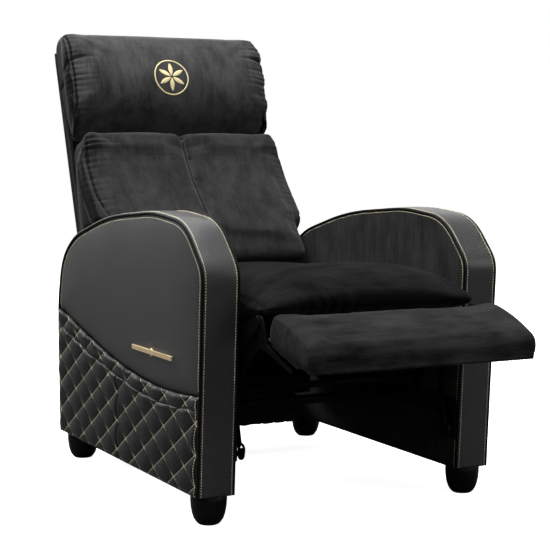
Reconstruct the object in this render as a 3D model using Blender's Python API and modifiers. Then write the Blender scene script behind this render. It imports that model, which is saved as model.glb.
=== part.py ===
"""A push-back recliner with a padded back, a lifting footrest and quilted arms.

Metres, +Z up. The sitter faces -Y, and the origin lies on the floor under the middle of
the chair's outline. Places along the chair are measured back from the arms' front plane.
"""
from math import atan2, cos, pi, radians, sin, tan

import bmesh
import bpy
from mathutils import Matrix, Vector

# Driving dimensions of the whole chair
CHAIR_WIDTH = 0.720
ARM_WIDTH = 0.086
ARM_LENGTH = 0.820
ARM_HEIGHT = 0.632
FOOT_HEIGHT = 0.062
ARM_FRONT = -0.405          # the arms' front plane, from the origin
RUNNING_GAP = 0.0004        # between faces that slide past each other
SEAT_GAP = 0.0003           # between faces that lie on each other
OVERRUN = 0.010             # how far a cut runs past what it cuts
MERGE_DISTANCE = 0.00001    # points nearer than this are one

# Layers of the sheet metal, from each arm inwards
PLATE_THICK = 0.0040
HEAD_THICK = 0.0016
PIN_RADIUS = 0.0050
PIN_HEAD_RADIUS = 0.0085
PIN_CLEARANCE = 0.0004
PIN_SIDES = 16
ARM_INNER = CHAIR_WIDTH / 2 - ARM_WIDTH
LAYER = PLATE_THICK + RUNNING_GAP
RAIL_X = ARM_INNER - SEAT_GAP - PLATE_THICK
SWING_X = RAIL_X - LAYER
SEAT_PLATE_X = SWING_X - LAYER
BRACKET_X = SEAT_PLATE_X - LAYER
DRIVE_X = BRACKET_X - LAYER

# The linkage that carries the seat
SWING_LENGTH = 0.110
SWING_LEAN = radians(20)
SWING_BASE_HEIGHT = 0.200
FRONT_SWING_Y = 0.170
REAR_SWING_Y = 0.500
LINK_HALF_WIDTH = 0.011
LINK_TUBE_RADIUS = 0.008

# The footrest hinge, its crank and the drive link
FOOTREST_HINGE_Y = -0.062
FOOTREST_HINGE_HEIGHT = 0.428
FOOTREST_SLOPE = radians(19)
CRANK_LENGTH = 0.0431
CRANK_ANGLE = radians(-104.9)
DRIVE_BASE_Y = 0.0223
DRIVE_BASE_HEIGHT = 0.1437
DRIVE_BOW = 0.062
DRIVE_HALF_WIDTH = 0.008
DRIVE_EYE_RADIUS = 0.0135
DRIVE_SLOT_RADIUS = 0.0092
DRIVE_SLOT_LENGTH = 0.0095
DRIVE_PIN_HEAD_RADIUS = 0.0115
DRIVE_STEPS = 16

# The recline hinge
RECLINE_HINGE_Y = 0.745
RECLINE_HINGE_HEIGHT = 0.385
BACK_TILT = radians(19.5)

# The seat frame and cushion
SEAT_RAIL_BOTTOM = 0.352
SEAT_RAIL_TOP = 0.398
SEAT_RAIL_FRONT = 0.045
SEAT_RAIL_REAR = 0.640
SEAT_RAIL_THICK = 0.030
CROSS_RAIL_THICK = 0.025
SPRING_WIRE = 0.0020
SPRING_COUNT = 4
SPRING_SWING = 0.028
SPRING_WAVES = 6
SPRING_END_INSET = 0.006
SEAT_SIDE_CLEARANCE = 0.008
SEAT_HALF_WIDTH = ARM_INNER - SEAT_SIDE_CLEARANCE
SEAT_FRONT_Y = -0.100
SEAT_DEPTH = 0.732
SEAT_THICK = 0.1244
SEAT_EDGE_ROUND = 0.034
SEAT_CROWN = 0.006

# The back, measured in its own tilted frame from the recline hinge
BACK_REAR_FACE = 0.1116
BACK_PANEL_THICK = 0.008
BACK_POST_THICK = 0.025
BACK_POST_WIDTH = 0.030
BACK_BOTTOM = 0.019
BACK_FRAME_TOP = 0.700
BACK_RAIL_HEIGHT = 0.045
BACK_SIDE_CLEARANCE = 0.004
BACK_HALF_WIDTH = ARM_INNER - BACK_SIDE_CLEARANCE
GUSSET_THICK = 0.008
GUSSET_BOTTOM = 0.078
GUSSET_TOP_SHARE = 0.80
GUSSET_SHOULDER_SHARE = 0.63
BACK_CUSHION_BOTTOM = 0.066
BACK_CUSHION_HEIGHT = 0.366
BACK_CUSHION_DEPTH = 0.202
BACK_EDGE_ROUND = 0.026
BACK_CROWN = 0.010
BACK_SEAM_DEPTH = 0.007
BACK_SEAM_WIDTH = 0.016
HEAD_GAP = 0.006
HEAD_DEPTH = 0.093
HEAD_OVER = 0.028           # how far the roll rises over the frame
HEAD_EDGE_ROUND = 0.034
HEAD_CROWN = 0.006

# The footrest, measured in its own sloping frame from its hinge
FOOTREST_REAR = 0.049
FOOTREST_LENGTH = 0.178
FOOTREST_TOP = 0.029
FOOTREST_THICK = 0.060
FOOTREST_HALF_WIDTH = ARM_INNER - SEAT_SIDE_CLEARANCE
FOOTREST_EDGE_ROUND = 0.020
FOOTREST_CROWN = 0.006
BOARD_THICK = 0.012
BOARD_INSET = 0.008

# The arms
BAND_THICK = 0.010
COVER_THICK = 0.008
ARM_BOARD_THICK = 0.012
QUILT_THICK = 0.006
POCKET_THICK = 0.0132
POCKET_WALL = 0.0060
POCKET_RIM = 0.008
POCKET_SEAM_SHARE = 0.521
POST_DEPTH = 0.055
POST_DROP = 0.075
PAD_ROUND = 0.007
FRONT_FOOT_INSET = 0.043
REAR_FOOT_INSET = 0.060
FOOT_TOP_RADIUS = 0.038
FOOT_BOTTOM_RADIUS = 0.021
FOOT_SIDES = 24

# The base
BASE_RAIL_TOP = 0.222
BASE_RAIL_BOTTOM = 0.180
BASE_RAIL_FRONT = 0.008
BASE_RAIL_REAR = 0.640
BASE_LUG_BOTTOM = 0.130
BASE_LUG_DEPTH = 0.034
BASE_TUBE_RADIUS = 0.011
BASE_TUBE_FRONT_Y = 0.240
BASE_TUBE_REAR_Y = 0.600
REAR_RAIL_Y = 0.750
REAR_RAIL_DEPTH = 0.060
REAR_RAIL_BOTTOM = 0.045
REAR_RAIL_TOP = 0.125
REAR_RAIL_ROUND = 0.014

SIDES = (("right", -1), ("left", 1))

# The arm's outline: shares of its length, of its side's height, and of its length for the
# corner's radius, from the front's foot over the top to the rear's foot
ARM_OUTLINE_SHARES = (
    (0.010, 0.000, 0.00), (-0.015, 0.815, 0.055), (0.095, 0.980, 0.16), (0.290, 1.004, 0.60),
    (0.600, 0.966, 1.20), (0.858, 0.866, 0.28), (0.965, 0.765, 0.16), (1.002, 0.550, 0.30),
    (0.985, 0.000, 0.00),
)
# Upper edges of the quilted panel and of the pocket, as shares of length and height
QUILT_EDGE_SHARES = (
    (0.024, 0.365), (0.120, 0.352), (0.221, 0.346), (0.354, 0.351), (0.517, 0.381),
    (0.600, 0.402), (0.806, 0.467), (0.995, 0.537),
)
POCKET_EDGE_SHARES = (
    (0.023, 0.319), (0.120, 0.300), (0.221, 0.291), (0.380, 0.302), (0.495, 0.334),
    (0.600, 0.351), (0.741, 0.382), (0.840, 0.421), (0.987, 0.474),
)
# The foot's profile: shares of its height and of the step from bottom to top radius
FOOT_PROFILE_SHARES = (
    (1.00, 1.00), (0.80, 0.99), (0.58, 0.93), (0.38, 0.80), (0.20, 0.58), (0.08, 0.30), (0.0, 0.0),
)
# The seat cushion's side profile: shares of its depth from the front, of its thickness over
# the springs, and of its depth for the corner's radius
SEAT_PROFILE_SHARES = (
    (1.000, 0.00, 0.014), (0.184, 0.00, 0.041), (0.082, 0.30, 0.041), (0.016, 0.43, 0.016),
    (0.000, 0.66, 0.030), (0.061, 0.90, 0.082), (0.232, 1.00, 0.220), (0.478, 0.99, 0.546),
    (0.751, 0.90, 0.546), (0.967, 0.78, 0.033), (0.992, 0.46, 0.041),
)
# The back cushion's: shares of its depth in front of the posts, of its height, and of its
# depth for the radius
BACK_PROFILE_SHARES = (
    (0.00, 0.011, 0.00), (0.88, 0.000, 0.15), (1.00, 0.066, 0.15), (0.84, 0.284, 0.50),
    (0.73, 0.421, 0.74), (0.545, 0.667, 1.00), (0.436, 0.872, 0.30), (0.327, 0.978, 0.15),
    (0.14, 1.000, 0.10), (0.00, 0.995, 0.00),
)
# The head roll's, in the same way, up to where it turns over the frame's top
HEAD_PROFILE_SHARES = (
    (0.00, 0.000, 0.00), (0.41, 0.000, 0.16), (0.77, 0.083, 0.43), (0.99, 0.283, 1.08),
    (1.00, 0.559, 1.08), (0.90, 0.807, 0.65), (0.60, 0.959, 0.43), (0.17, 1.000, 0.43),
    (-0.24, 0.986, 0.22),
)
HEAD_REAR_SHARE = 0.945
ARC_STEPS = 4
UPWARDS = Vector((0, 1))
FORWARDS = Vector((-1, 0))


def y_at(distance):
    """A place along the chair, measured back from the arms' front plane."""
    return ARM_FRONT + distance


def make_material(name, colour, roughness, metallic=0.0):
    material = bpy.data.materials.new(name)
    material.use_nodes = True
    shader = material.node_tree.nodes["Principled BSDF"]
    shader.inputs["Base Color"].default_value = (*colour, 1)
    shader.inputs["Roughness"].default_value = roughness
    shader.inputs["Metallic"].default_value = metallic
    return material


def clear_scene():
    for item in list(bpy.data.objects):
        bpy.data.objects.remove(item)


def collection(name):
    made = bpy.data.collections.new(name)
    bpy.context.scene.collection.children.link(made)
    return made


clear_scene()
CHAIR = collection("recliner")
CUTTERS = collection("cutters")

VELVET = ("velvet", (0.018, 0.018, 0.020), 0.85, 0.0)
LEATHER = ("smooth leather", (0.030, 0.030, 0.033), 0.42, 0.0)
TWILL = ("woven leather", (0.028, 0.028, 0.030), 0.48, 0.0)
QUILT = ("quilted leather", (0.026, 0.026, 0.028), 0.50, 0.0)
STEEL = ("black steel", (0.040, 0.040, 0.042), 0.45, 0.8)
SPRING_STEEL = ("spring steel", (0.300, 0.300, 0.310), 0.35, 1.0)
TIMBER = ("pine", (0.520, 0.370, 0.210), 0.75, 0.0)
PLYWOOD = ("plywood", (0.560, 0.410, 0.250), 0.70, 0.0)
FOOT_PLASTIC = ("foot plastic", (0.012, 0.012, 0.013), 0.40, 0.0)


def add(name, data, finish, parent=None, into=None):
    """A named object in the chair's collection with a material of its own."""
    made = bpy.data.objects.new(name, data)
    (into or CHAIR).objects.link(made)
    if finish:
        kind, colour, roughness, metallic = finish
        data.materials.clear()
        data.materials.append(make_material(f"{name} {kind}", colour, roughness, metallic))
    made.parent = parent
    return made


def joint_frame(name, y, z, turn=0.0, parent=None):
    """An empty on a joint's axis. Its parent, if any, is an unturned empty."""
    made = bpy.data.objects.new(name, None)
    CHAIR.objects.link(made)
    made.parent = parent
    base = parent.location if parent else Vector((0, 0, 0))
    made.location = Vector((0, y, z)) - base
    made.rotation_euler = (turn, 0, 0)
    return made


def mesh_from(build):
    """A mesh from a function that fills a bmesh."""
    bm = bmesh.new()
    build(bm)
    bmesh.ops.recalc_face_normals(bm, faces=bm.faces)
    data = bpy.data.meshes.new("mesh")
    bm.to_mesh(data)
    bm.free()
    return data


def block(name, low, high, finish, parent=None, into=None):
    """A box between two corners."""
    size = [b - a for a, b in zip(low, high)]

    def build(bm):
        bmesh.ops.create_cube(bm, size=1)
        bmesh.ops.scale(bm, vec=size, verts=bm.verts)

    made = add(name, mesh_from(build), finish, parent, into)
    made.location = [(a + b) / 2 for a, b in zip(low, high)]
    return made


def cross_rod(name, low_x, high_x, y, z, radius, sides, finish, parent=None, into=None):
    """A round bar along X."""
    def build(bm):
        bmesh.ops.create_cone(bm, cap_ends=True, segments=sides, radius1=radius, radius2=radius,
                              depth=high_x - low_x, matrix=Matrix.Rotation(pi / 2, 4, "Y"))

    made = add(name, mesh_from(build), finish, parent, into)
    made.location = ((low_x + high_x) / 2, y, z)
    made.data.shade_smooth()
    made.data.set_sharp_from_angle(angle=radians(40))
    return made


def circle(y, z, radius, sides=PIN_SIDES):
    return [(y + radius * cos(2 * pi * i / sides), z + radius * sin(2 * pi * i / sides))
            for i in range(sides)]


def plate(name, outline, low_x, high_x, finish, parent=None, holes=(), into=None):
    """A flat outline in the Y-Z plane, as thick as the span in X. Returns a mesh object."""
    curve = bpy.data.curves.new("outline", "CURVE")
    curve.dimensions = "2D"
    curve.fill_mode = "BOTH"
    curve.extrude = (high_x - low_x) / 2
    for ring in (outline, *holes):
        spline = curve.splines.new("POLY")
        spline.points.add(len(ring) - 1)
        for point, (y, z) in zip(spline.points, ring):
            point.co = (y, z, 0, 1)
        spline.use_cyclic_u = True
    flat = bpy.data.objects.new("outline", curve)
    CUTTERS.objects.link(flat)
    bpy.context.view_layer.update()
    data = bpy.data.meshes.new_from_object(flat.evaluated_get(bpy.context.evaluated_depsgraph_get()))
    bpy.data.objects.remove(flat)
    bm = bmesh.new()
    bm.from_mesh(data)
    bmesh.ops.remove_doubles(bm, verts=bm.verts, dist=MERGE_DISTANCE)
    bmesh.ops.recalc_face_normals(bm, faces=bm.faces)
    bm.to_mesh(data)
    bm.free()
    made = add(name, data, finish, parent, into)
    made.rotation_euler = (pi / 2, 0, pi / 2)
    made.location = ((low_x + high_x) / 2, 0, 0)
    return made


def use(piece, other, operation):
    """Join or cut a piece with a helper solid, which stays out of the model."""
    other.hide_render = True
    other.display_type = "WIRE"
    change = piece.modifiers.new(other.name, "BOOLEAN")
    change.object = other
    change.operation = operation
    change.solver = "EXACT"


def add_pin(piece, side, start_x, end_x, y, z, parent=None, head_radius=PIN_HEAD_RADIUS):
    """A riveted pin on a plate: a shank from one layer to another, with a head past its end.

    start_x and end_x are distances from the chair's middle; the pin points from start to end.
    """
    way = 1 if end_x > start_x else -1
    root = start_x - way * PLATE_THICK / 2
    neck = end_x + way * RUNNING_GAP / 2
    tip = neck + way * HEAD_THICK
    shank = sorted((side * root, side * (neck + way * HEAD_THICK / 2)))
    head = sorted((side * neck, side * tip))
    label = f"{piece.name}_{round(y * 1000)}"
    use(piece, cross_rod(f"{label}_shank", *shank, y, z, PIN_RADIUS, PIN_SIDES, None, parent, CUTTERS),
        "UNION")
    use(piece, cross_rod(f"{label}_head", *head, y, z, head_radius, PIN_SIDES, None, parent, CUTTERS),
        "UNION")


def rounded(corners, steps=ARC_STEPS, closed=True):
    """Corners (y, z, radius) as points, with each corner turned into an arc."""
    points = []
    count = len(corners)
    for i, (y, z, radius) in enumerate(corners):
        here = Vector((y, z))
        if radius == 0 or (not closed and i in (0, count - 1)):
            points.append(tuple(here))
            continue
        before = Vector(corners[i - 1][:2]) - here
        after = Vector(corners[(i + 1) % count][:2]) - here
        half = before.angle(after) / 2
        reach = min(radius / tan(half), before.length * 0.48, after.length * 0.48)
        turn = reach * tan(half)
        centre = here + (before.normalized() + after.normalized()).normalized() * turn / sin(half)
        first = here + before.normalized() * reach - centre
        last = here + after.normalized() * reach - centre
        start = atan2(first.y, first.x)
        sweep = (atan2(last.y, last.x) - start + pi) % (2 * pi) - pi
        for k in range(steps + 1):
            angle = start + sweep * k / steps
            points.append((centre.x + turn * cos(angle), centre.y + turn * sin(angle)))
    return points


def normals(points, closed=True):
    """Unit normals on the left of a path of points."""
    found = []
    count = len(points)
    for i in range(count):
        total = Vector((0, 0))
        for a, b in ((i - 1, i), (i, i + 1)):
            if not closed and (a < 0 or b >= count):
                continue
            run = Vector(points[b % count]) - Vector(points[a % count])
            total += Vector((-run.y, run.x)).normalized()
        found.append(total.normalized())
    return found


def shifted(path, depth):
    """An open path moved sideways by a depth, to its right, with its ends at their height."""
    moved = [(y - n.x * depth, z - n.y * depth) for (y, z), n in zip(path, normals(path, False))]
    moved[0] = (moved[0][0], path[0][1])
    moved[-1] = (moved[-1][0], path[-1][1])
    return moved


def crossing(path, height):
    """Where an open path first passes a height."""
    for (y1, z1), (y2, z2) in zip(path, path[1:]):
        if min(z1, z2) <= height <= max(z1, z2) and z1 != z2:
            return y1 + (y2 - y1) * (height - z1) / (z2 - z1)
    return path[-1][0]


def soft_solid(name, profile, on_base, half_width, edge_round, crown, show, finish, parent=None,
               seam_depth=0.0, seam_width=0.0):
    """A cushion: a side profile carried across the chair, crowned and drawn in at its sides.

    on_base says which points of the profile lie on what carries the cushion and stay put.
    show is the way that the cushion's crowned face looks, in the profile's plane.
    """
    area = sum(a[0] * b[1] - b[0] * a[1] for a, b in zip(profile, profile[1:] + profile[:1]))
    if area > 0:
        profile = profile[::-1]
    outward = [Vector((0, 0)) if on_base(y, z) else n
               for (y, z), n in zip(profile, normals(profile))]
    inner = half_width - edge_round
    stations = [(inner + edge_round * sin(a), edge_round * (1 - cos(a)))
                for a in (radians(90 * k / 4) for k in range(1, 5))]
    stations = [(inner * k / 4, 0.0) for k in range(1, 5)] + stations
    if seam_depth:
        stations = [(0, seam_depth), (seam_width / 3, seam_depth / 2), (seam_width, 0.0)] + stations
    else:
        stations = [(0, 0.0)] + stations
    stations = [(-x, d) for x, d in reversed(stations[1:])] + stations

    def build(bm):
        rings = []
        for x, drawn_in in stations:
            swell = crown * (1 - (x / half_width) ** 2)
            ring = []
            for (y, z), n in zip(profile, outward):
                rise = swell * max(0, n.dot(show)) ** 2 - drawn_in
                ring.append(bm.verts.new((x, y + n.x * rise, z + n.y * rise)))
            rings.append(ring)
        count = len(profile)
        for ring, after in zip(rings, rings[1:]):
            for i in range(count):
                j = (i + 1) % count
                bm.faces.new((ring[i], ring[j], after[j], after[i]))
        bm.faces.new(rings[0][::-1])
        bm.faces.new(rings[-1])

    made = add(name, mesh_from(build), finish, parent)
    made.data.shade_smooth()
    return made


def stadium(length, lean, half_width, sides=8):
    """A link's outline from its lower pivot at the origin to its upper one."""
    along = Vector((-sin(lean), cos(lean)))
    points = []
    for k in range(sides + 1):
        angle = lean + pi + pi * k / sides
        points.append((half_width * cos(angle), half_width * sin(angle)))
    for k in range(sides + 1):
        angle = lean + pi * k / sides
        points.append((along.x * length + half_width * cos(angle),
                       along.y * length + half_width * sin(angle)))
    return points


# Where the pivots lie, in the chair's frame
def swing_top(base_y):
    return (base_y - SWING_LENGTH * sin(SWING_LEAN), SWING_BASE_HEIGHT + SWING_LENGTH * cos(SWING_LEAN))


FRONT_SEAT_PIVOT = swing_top(FRONT_SWING_Y)
REAR_SEAT_PIVOT = swing_top(REAR_SWING_Y)
CRANK_PIN = (FOOTREST_HINGE_Y + CRANK_LENGTH * cos(CRANK_ANGLE),
             FOOTREST_HINGE_HEIGHT + CRANK_LENGTH * sin(CRANK_ANGLE))

FRONT_SWING_FRAME = joint_frame("front_swing_axis", y_at(FRONT_SWING_Y), SWING_BASE_HEIGHT)
REAR_SWING_FRAME = joint_frame("rear_swing_axis", y_at(REAR_SWING_Y), SWING_BASE_HEIGHT)
SEAT_FRAME = joint_frame("seat_axis", y_at(REAR_SEAT_PIVOT[0]), REAR_SEAT_PIVOT[1], 0, REAR_SWING_FRAME)
FOOTREST_FRAME = joint_frame("footrest_axis", y_at(FOOTREST_HINGE_Y), FOOTREST_HINGE_HEIGHT,
                             FOOTREST_SLOPE)
BACK_FRAME = joint_frame("recline_axis", y_at(RECLINE_HINGE_Y), RECLINE_HINGE_HEIGHT, -BACK_TILT)
DRIVE_FRAME = joint_frame("drive_link_axis", y_at(CRANK_PIN[0]), CRANK_PIN[1])


def arm_path(inset=0.0):
    """The arm's outline from the front's foot over the top to the rear's foot."""
    height = ARM_HEIGHT - FOOT_HEIGHT
    corners = [(y_at(y * ARM_LENGTH), FOOT_HEIGHT + z * height, r * ARM_LENGTH)
               for y, z, r in ARM_OUTLINE_SHARES]
    return shifted(rounded(corners, closed=False), inset)


def edge_line(shares, lift=0.0):
    height = ARM_HEIGHT - FOOT_HEIGHT
    return [(y_at(y * ARM_LENGTH), FOOT_HEIGHT + z * height + lift) for y, z in shares]


def below_edge(path, edge):
    """The part of an arm's outline under an edge line."""
    front_z, rear_z = edge[0][1], edge[-1][1]
    return [path[0], (crossing(path, front_z), front_z), *edge[1:-1],
            (crossing(path[::-1], rear_z), rear_z), path[-1]]


def above_edge(path, edge):
    """The part of an arm's outline over an edge line."""
    front_z, rear_z = edge[0][1], edge[-1][1]
    upper = [p for p in path if p[1] > max(front_z, rear_z)]
    return [(crossing(path, front_z), front_z), *upper,
            (crossing(path[::-1], rear_z), rear_z), *edge[1:-1][::-1]]


def build_arm(word, side):
    """One arm: a board and posts, an inner cover, outer panels, a pocket, a band and feet."""
    def span(low, high):
        return sorted((side * low, side * high))

    outer = CHAIR_WIDTH / 2
    outline = arm_path()
    inside = arm_path(BAND_THICK + SEAT_GAP)
    band = outline + arm_path(BAND_THICK)[::-1]
    plate(f"arm_band_{word}", band, *span(ARM_INNER, outer), TWILL)
    plate(f"arm_inner_cover_{word}", inside, *span(ARM_INNER, ARM_INNER + COVER_THICK), VELVET)

    board_x = ARM_INNER + COVER_THICK + SEAT_GAP
    plate(f"arm_board_{word}", inside, *span(board_x, board_x + ARM_BOARD_THICK), PLYWOOD)

    pocket_x = outer - POCKET_THICK
    quilt_x = pocket_x - SEAT_GAP - QUILT_THICK
    quilt_edge = edge_line(QUILT_EDGE_SHARES)
    plate(f"arm_quilted_panel_{word}", below_edge(inside, quilt_edge),
          *span(quilt_x, quilt_x + QUILT_THICK), QUILT)
    pad = plate(f"arm_outer_pad_{word}", above_edge(inside, edge_line(QUILT_EDGE_SHARES, SEAT_GAP)),
                *span(quilt_x, outer), LEATHER)
    soften = pad.modifiers.new("soft edge", "BEVEL")
    soften.width = PAD_ROUND
    soften.segments = 2
    soften.limit_method = "ANGLE"
    soften.angle_limit = radians(50)

    build_pocket(word, side, inside, span(pocket_x, outer))

    post_x = board_x + ARM_BOARD_THICK + SEAT_GAP
    post_top = ARM_HEIGHT - POST_DROP * 2
    front_y = inside[0][0] + BAND_THICK
    rear_y = inside[-1][0]
    low, high = span(post_x, quilt_x - SEAT_GAP)
    block(f"arm_front_post_{word}", (low, front_y, FOOT_HEIGHT),
          (high, front_y + POST_DEPTH, post_top + POST_DROP / 2), TIMBER)
    block(f"arm_rear_post_{word}", (low, rear_y - POST_DEPTH - SEAT_GAP, FOOT_HEIGHT),
          (high, rear_y - SEAT_GAP, post_top - POST_DROP), TIMBER)

    for place, y in (("front", FRONT_FOOT_INSET), ("rear", ARM_LENGTH - REAR_FOOT_INSET)):
        build_foot(f"foot_{place}_{word}", side * (outer - ARM_WIDTH / 2), y_at(y))


def build_pocket(word, side, inside, x_span):
    """The outer layer of the side, open at its top: two pockets with a seam between."""
    edge = edge_line(POCKET_EDGE_SHARES)
    pocket = plate(f"arm_pocket_{word}", below_edge(inside, edge), *x_span, QUILT)
    seam_y = y_at(POCKET_SEAM_SHARE * ARM_LENGTH)
    top = max(z for _, z in edge) + OVERRUN
    cut_depth = POCKET_THICK - POCKET_WALL
    inner_face = min(x_span, key=abs)
    cut_x = sorted((inner_face - side * OVERRUN, inner_face + side * cut_depth))
    halves = ((inside[0][0] + POCKET_RIM, seam_y - POCKET_RIM / 2),
              (seam_y + POCKET_RIM / 2, inside[-1][0] - POCKET_RIM))
    for place, (front, rear) in zip(("front", "rear"), halves):
        cutter = block(f"pocket_space_{place}_{word}", (cut_x[0], front, FOOT_HEIGHT + POCKET_RIM),
                       (cut_x[1], rear, top), None, None, CUTTERS)
        use(pocket, cutter, "DIFFERENCE")


def build_foot(name, x, y):
    """A turned bullet foot, flat underneath."""
    top = FOOT_HEIGHT - SEAT_GAP
    step = FOOT_TOP_RADIUS - FOOT_BOTTOM_RADIUS
    profile = [(0, top)]
    profile += [(FOOT_BOTTOM_RADIUS + r * step, z * top) for z, r in FOOT_PROFILE_SHARES]
    profile.append((0, 0))
    data = bpy.data.meshes.new("mesh")
    data.from_pydata([(r, 0, z) for r, z in profile], [(i, i + 1) for i in range(len(profile) - 1)], [])
    foot = add(name, data, FOOT_PLASTIC)
    foot.location = (x, y, 0)
    turned = foot.modifiers.new("turned", "SCREW")
    turned.steps = turned.render_steps = FOOT_SIDES
    turned.use_merge_vertices = True
    turned.merge_threshold = MERGE_DISTANCE


def build_base():
    """Rails on the arms, two tubes between them and the covered rail at the rear."""
    rail_z = (BASE_RAIL_TOP + BASE_RAIL_BOTTOM) / 2
    soft = LINK_HALF_WIDTH / 2
    front, rear = y_at(BASE_RAIL_FRONT), y_at(BASE_RAIL_REAR)
    outline = rounded((
        (front, BASE_RAIL_TOP, soft), (front, BASE_LUG_BOTTOM, soft),
        (front + BASE_LUG_DEPTH, BASE_LUG_BOTTOM, soft),
        (front + BASE_LUG_DEPTH * 2, BASE_RAIL_BOTTOM, soft),
        (rear, BASE_RAIL_BOTTOM, soft), (rear, BASE_RAIL_TOP, soft)))
    for word, side in SIDES:
        rail = plate(f"base_rail_{word}", outline, *sorted((side * RAIL_X, side * (RAIL_X + PLATE_THICK))),
                     STEEL)
        for y in (FRONT_SWING_Y, REAR_SWING_Y):
            add_pin(rail, side, RAIL_X, SWING_X, y_at(y), SWING_BASE_HEIGHT)
        add_pin(rail, side, RAIL_X, DRIVE_X, y_at(DRIVE_BASE_Y), DRIVE_BASE_HEIGHT,
                head_radius=DRIVE_PIN_HEAD_RADIUS)
    reach = RAIL_X - SEAT_GAP
    for place, y in (("front", BASE_TUBE_FRONT_Y), ("rear", BASE_TUBE_REAR_Y)):
        cross_rod(f"base_tube_{place}", -reach, reach, y_at(y), rail_z, BASE_TUBE_RADIUS, PIN_SIDES, STEEL)
    half = ARM_INNER - SEAT_GAP
    rail = block("rear_rail", (-half, y_at(REAR_RAIL_Y - REAR_RAIL_DEPTH / 2), REAR_RAIL_BOTTOM),
                 (half, y_at(REAR_RAIL_Y + REAR_RAIL_DEPTH / 2), REAR_RAIL_TOP), VELVET)
    soften = rail.modifiers.new("soft edge", "BEVEL")
    soften.width = REAR_RAIL_ROUND
    soften.segments = 3


def build_swing_links():
    """Two pairs of links that carry the seat, each pair with a tube across."""
    outline = stadium(SWING_LENGTH, SWING_LEAN, LINK_HALF_WIDTH)
    top = (-SWING_LENGTH * sin(SWING_LEAN), SWING_LENGTH * cos(SWING_LEAN))
    holes = [circle(y, z, PIN_RADIUS + PIN_CLEARANCE) for y, z in ((0, 0), top)]
    reach = SWING_X - SEAT_GAP
    for place, frame in (("front", FRONT_SWING_FRAME), ("rear", REAR_SWING_FRAME)):
        for word, side in SIDES:
            plate(f"{place}_swing_link_{word}", outline,
                  *sorted((side * SWING_X, side * (SWING_X + PLATE_THICK))), STEEL, frame, holes)
        cross_rod(f"{place}_swing_tube", -reach, reach, top[0] / 2, top[1] / 2, LINK_TUBE_RADIUS,
                  PIN_SIDES, STEEL, frame)


def seat_plate_outline():
    """The seat's side plate: a horn to the footrest hinge, a bar, two lugs and a rear tail."""
    lug = LINK_HALF_WIDTH
    top = SEAT_RAIL_TOP
    low = (SEAT_RAIL_BOTTOM + FRONT_SEAT_PIVOT[1]) / 2
    corners = [(FOOTREST_HINGE_Y - lug * 1.3, FOOTREST_HINGE_HEIGHT - lug * 0.6, lug),
               (FOOTREST_HINGE_Y + lug * 0.1, FOOTREST_HINGE_HEIGHT + lug * 1.2, lug),
               (SEAT_RAIL_FRONT / 2, top, lug),
               (RECLINE_HINGE_Y - lug * 2, top, lug),
               (RECLINE_HINGE_Y + lug * 1.3, RECLINE_HINGE_HEIGHT + lug * 1.5, lug),
               (RECLINE_HINGE_Y + lug * 1.6, RECLINE_HINGE_HEIGHT - lug * 1.4, lug),
               (SEAT_RAIL_REAR, SEAT_RAIL_BOTTOM, lug)]
    for y, z in (REAR_SEAT_PIVOT, FRONT_SEAT_PIVOT):
        corners += [(y + lug * 2.2, low, lug), (y + lug * 1.1, z - lug * 1.1, lug),
                    (y - lug * 1.1, z - lug * 1.1, lug), (y - lug * 2.2, low, lug)]
    corners.append((SEAT_RAIL_FRONT / 2, SEAT_RAIL_BOTTOM, lug))
    return rounded(corners)


def build_seat():
    """Side plates, a wooden frame, wave springs and the seat cushion."""
    home = SEAT_FRAME.location + REAR_SWING_FRAME.location

    def local(points):
        return [(y_at(y) - home.y, z - home.z) for y, z in points]

    outline = local(seat_plate_outline())
    for word, side in SIDES:
        piece = plate(f"seat_plate_{word}", outline,
                      *sorted((side * SEAT_PLATE_X, side * (SEAT_PLATE_X + PLATE_THICK))), STEEL, SEAT_FRAME)
        for y, z in local((FRONT_SEAT_PIVOT, REAR_SEAT_PIVOT)):
            add_pin(piece, side, SEAT_PLATE_X + PLATE_THICK, SWING_X + PLATE_THICK, y, z, SEAT_FRAME)
        hinges = ((FOOTREST_HINGE_Y, FOOTREST_HINGE_HEIGHT), (RECLINE_HINGE_Y, RECLINE_HINGE_HEIGHT))
        for y, z in local(hinges):
            add_pin(piece, side, SEAT_PLATE_X, BRACKET_X, y, z, SEAT_FRAME)

    outer = SEAT_PLATE_X - SEAT_GAP
    inner = outer - SEAT_RAIL_THICK
    front, rear = y_at(SEAT_RAIL_FRONT) - home.y, y_at(SEAT_RAIL_REAR) - home.y
    bottom, top = SEAT_RAIL_BOTTOM - home.z, SEAT_RAIL_TOP - home.z
    for word, side in SIDES:
        low, high = sorted((side * inner, side * outer))
        block(f"seat_side_rail_{word}", (low, front, bottom), (high, rear, top), TIMBER, SEAT_FRAME)
    reach = inner - SEAT_GAP
    for place, y in (("front", front), ("rear", rear - CROSS_RAIL_THICK)):
        block(f"seat_{place}_rail", (-reach, y, bottom), (reach, y + CROSS_RAIL_THICK, top), TIMBER,
              SEAT_FRAME)

    wire_z = top + SEAT_GAP + SPRING_WIRE
    for i in range(SPRING_COUNT):
        x = (i - (SPRING_COUNT - 1) / 2) * 2 * inner / SPRING_COUNT
        build_wave_spring(f"seat_spring_{i + 1}", x, front + SPRING_END_INSET, rear - SPRING_END_INSET,
                          wire_z)

    base = wire_z + SPRING_WIRE + SEAT_GAP
    corners = [(y_at(SEAT_FRONT_Y + y * SEAT_DEPTH) - home.y, base + z * SEAT_THICK, r * SEAT_DEPTH)
               for y, z, r in SEAT_PROFILE_SHARES]
    soft_solid("seat_cushion", rounded(corners),
               lambda y, z: z < base + SEAT_GAP, SEAT_HALF_WIDTH, SEAT_EDGE_ROUND, SEAT_CROWN,
               UPWARDS, VELVET, SEAT_FRAME)


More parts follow.
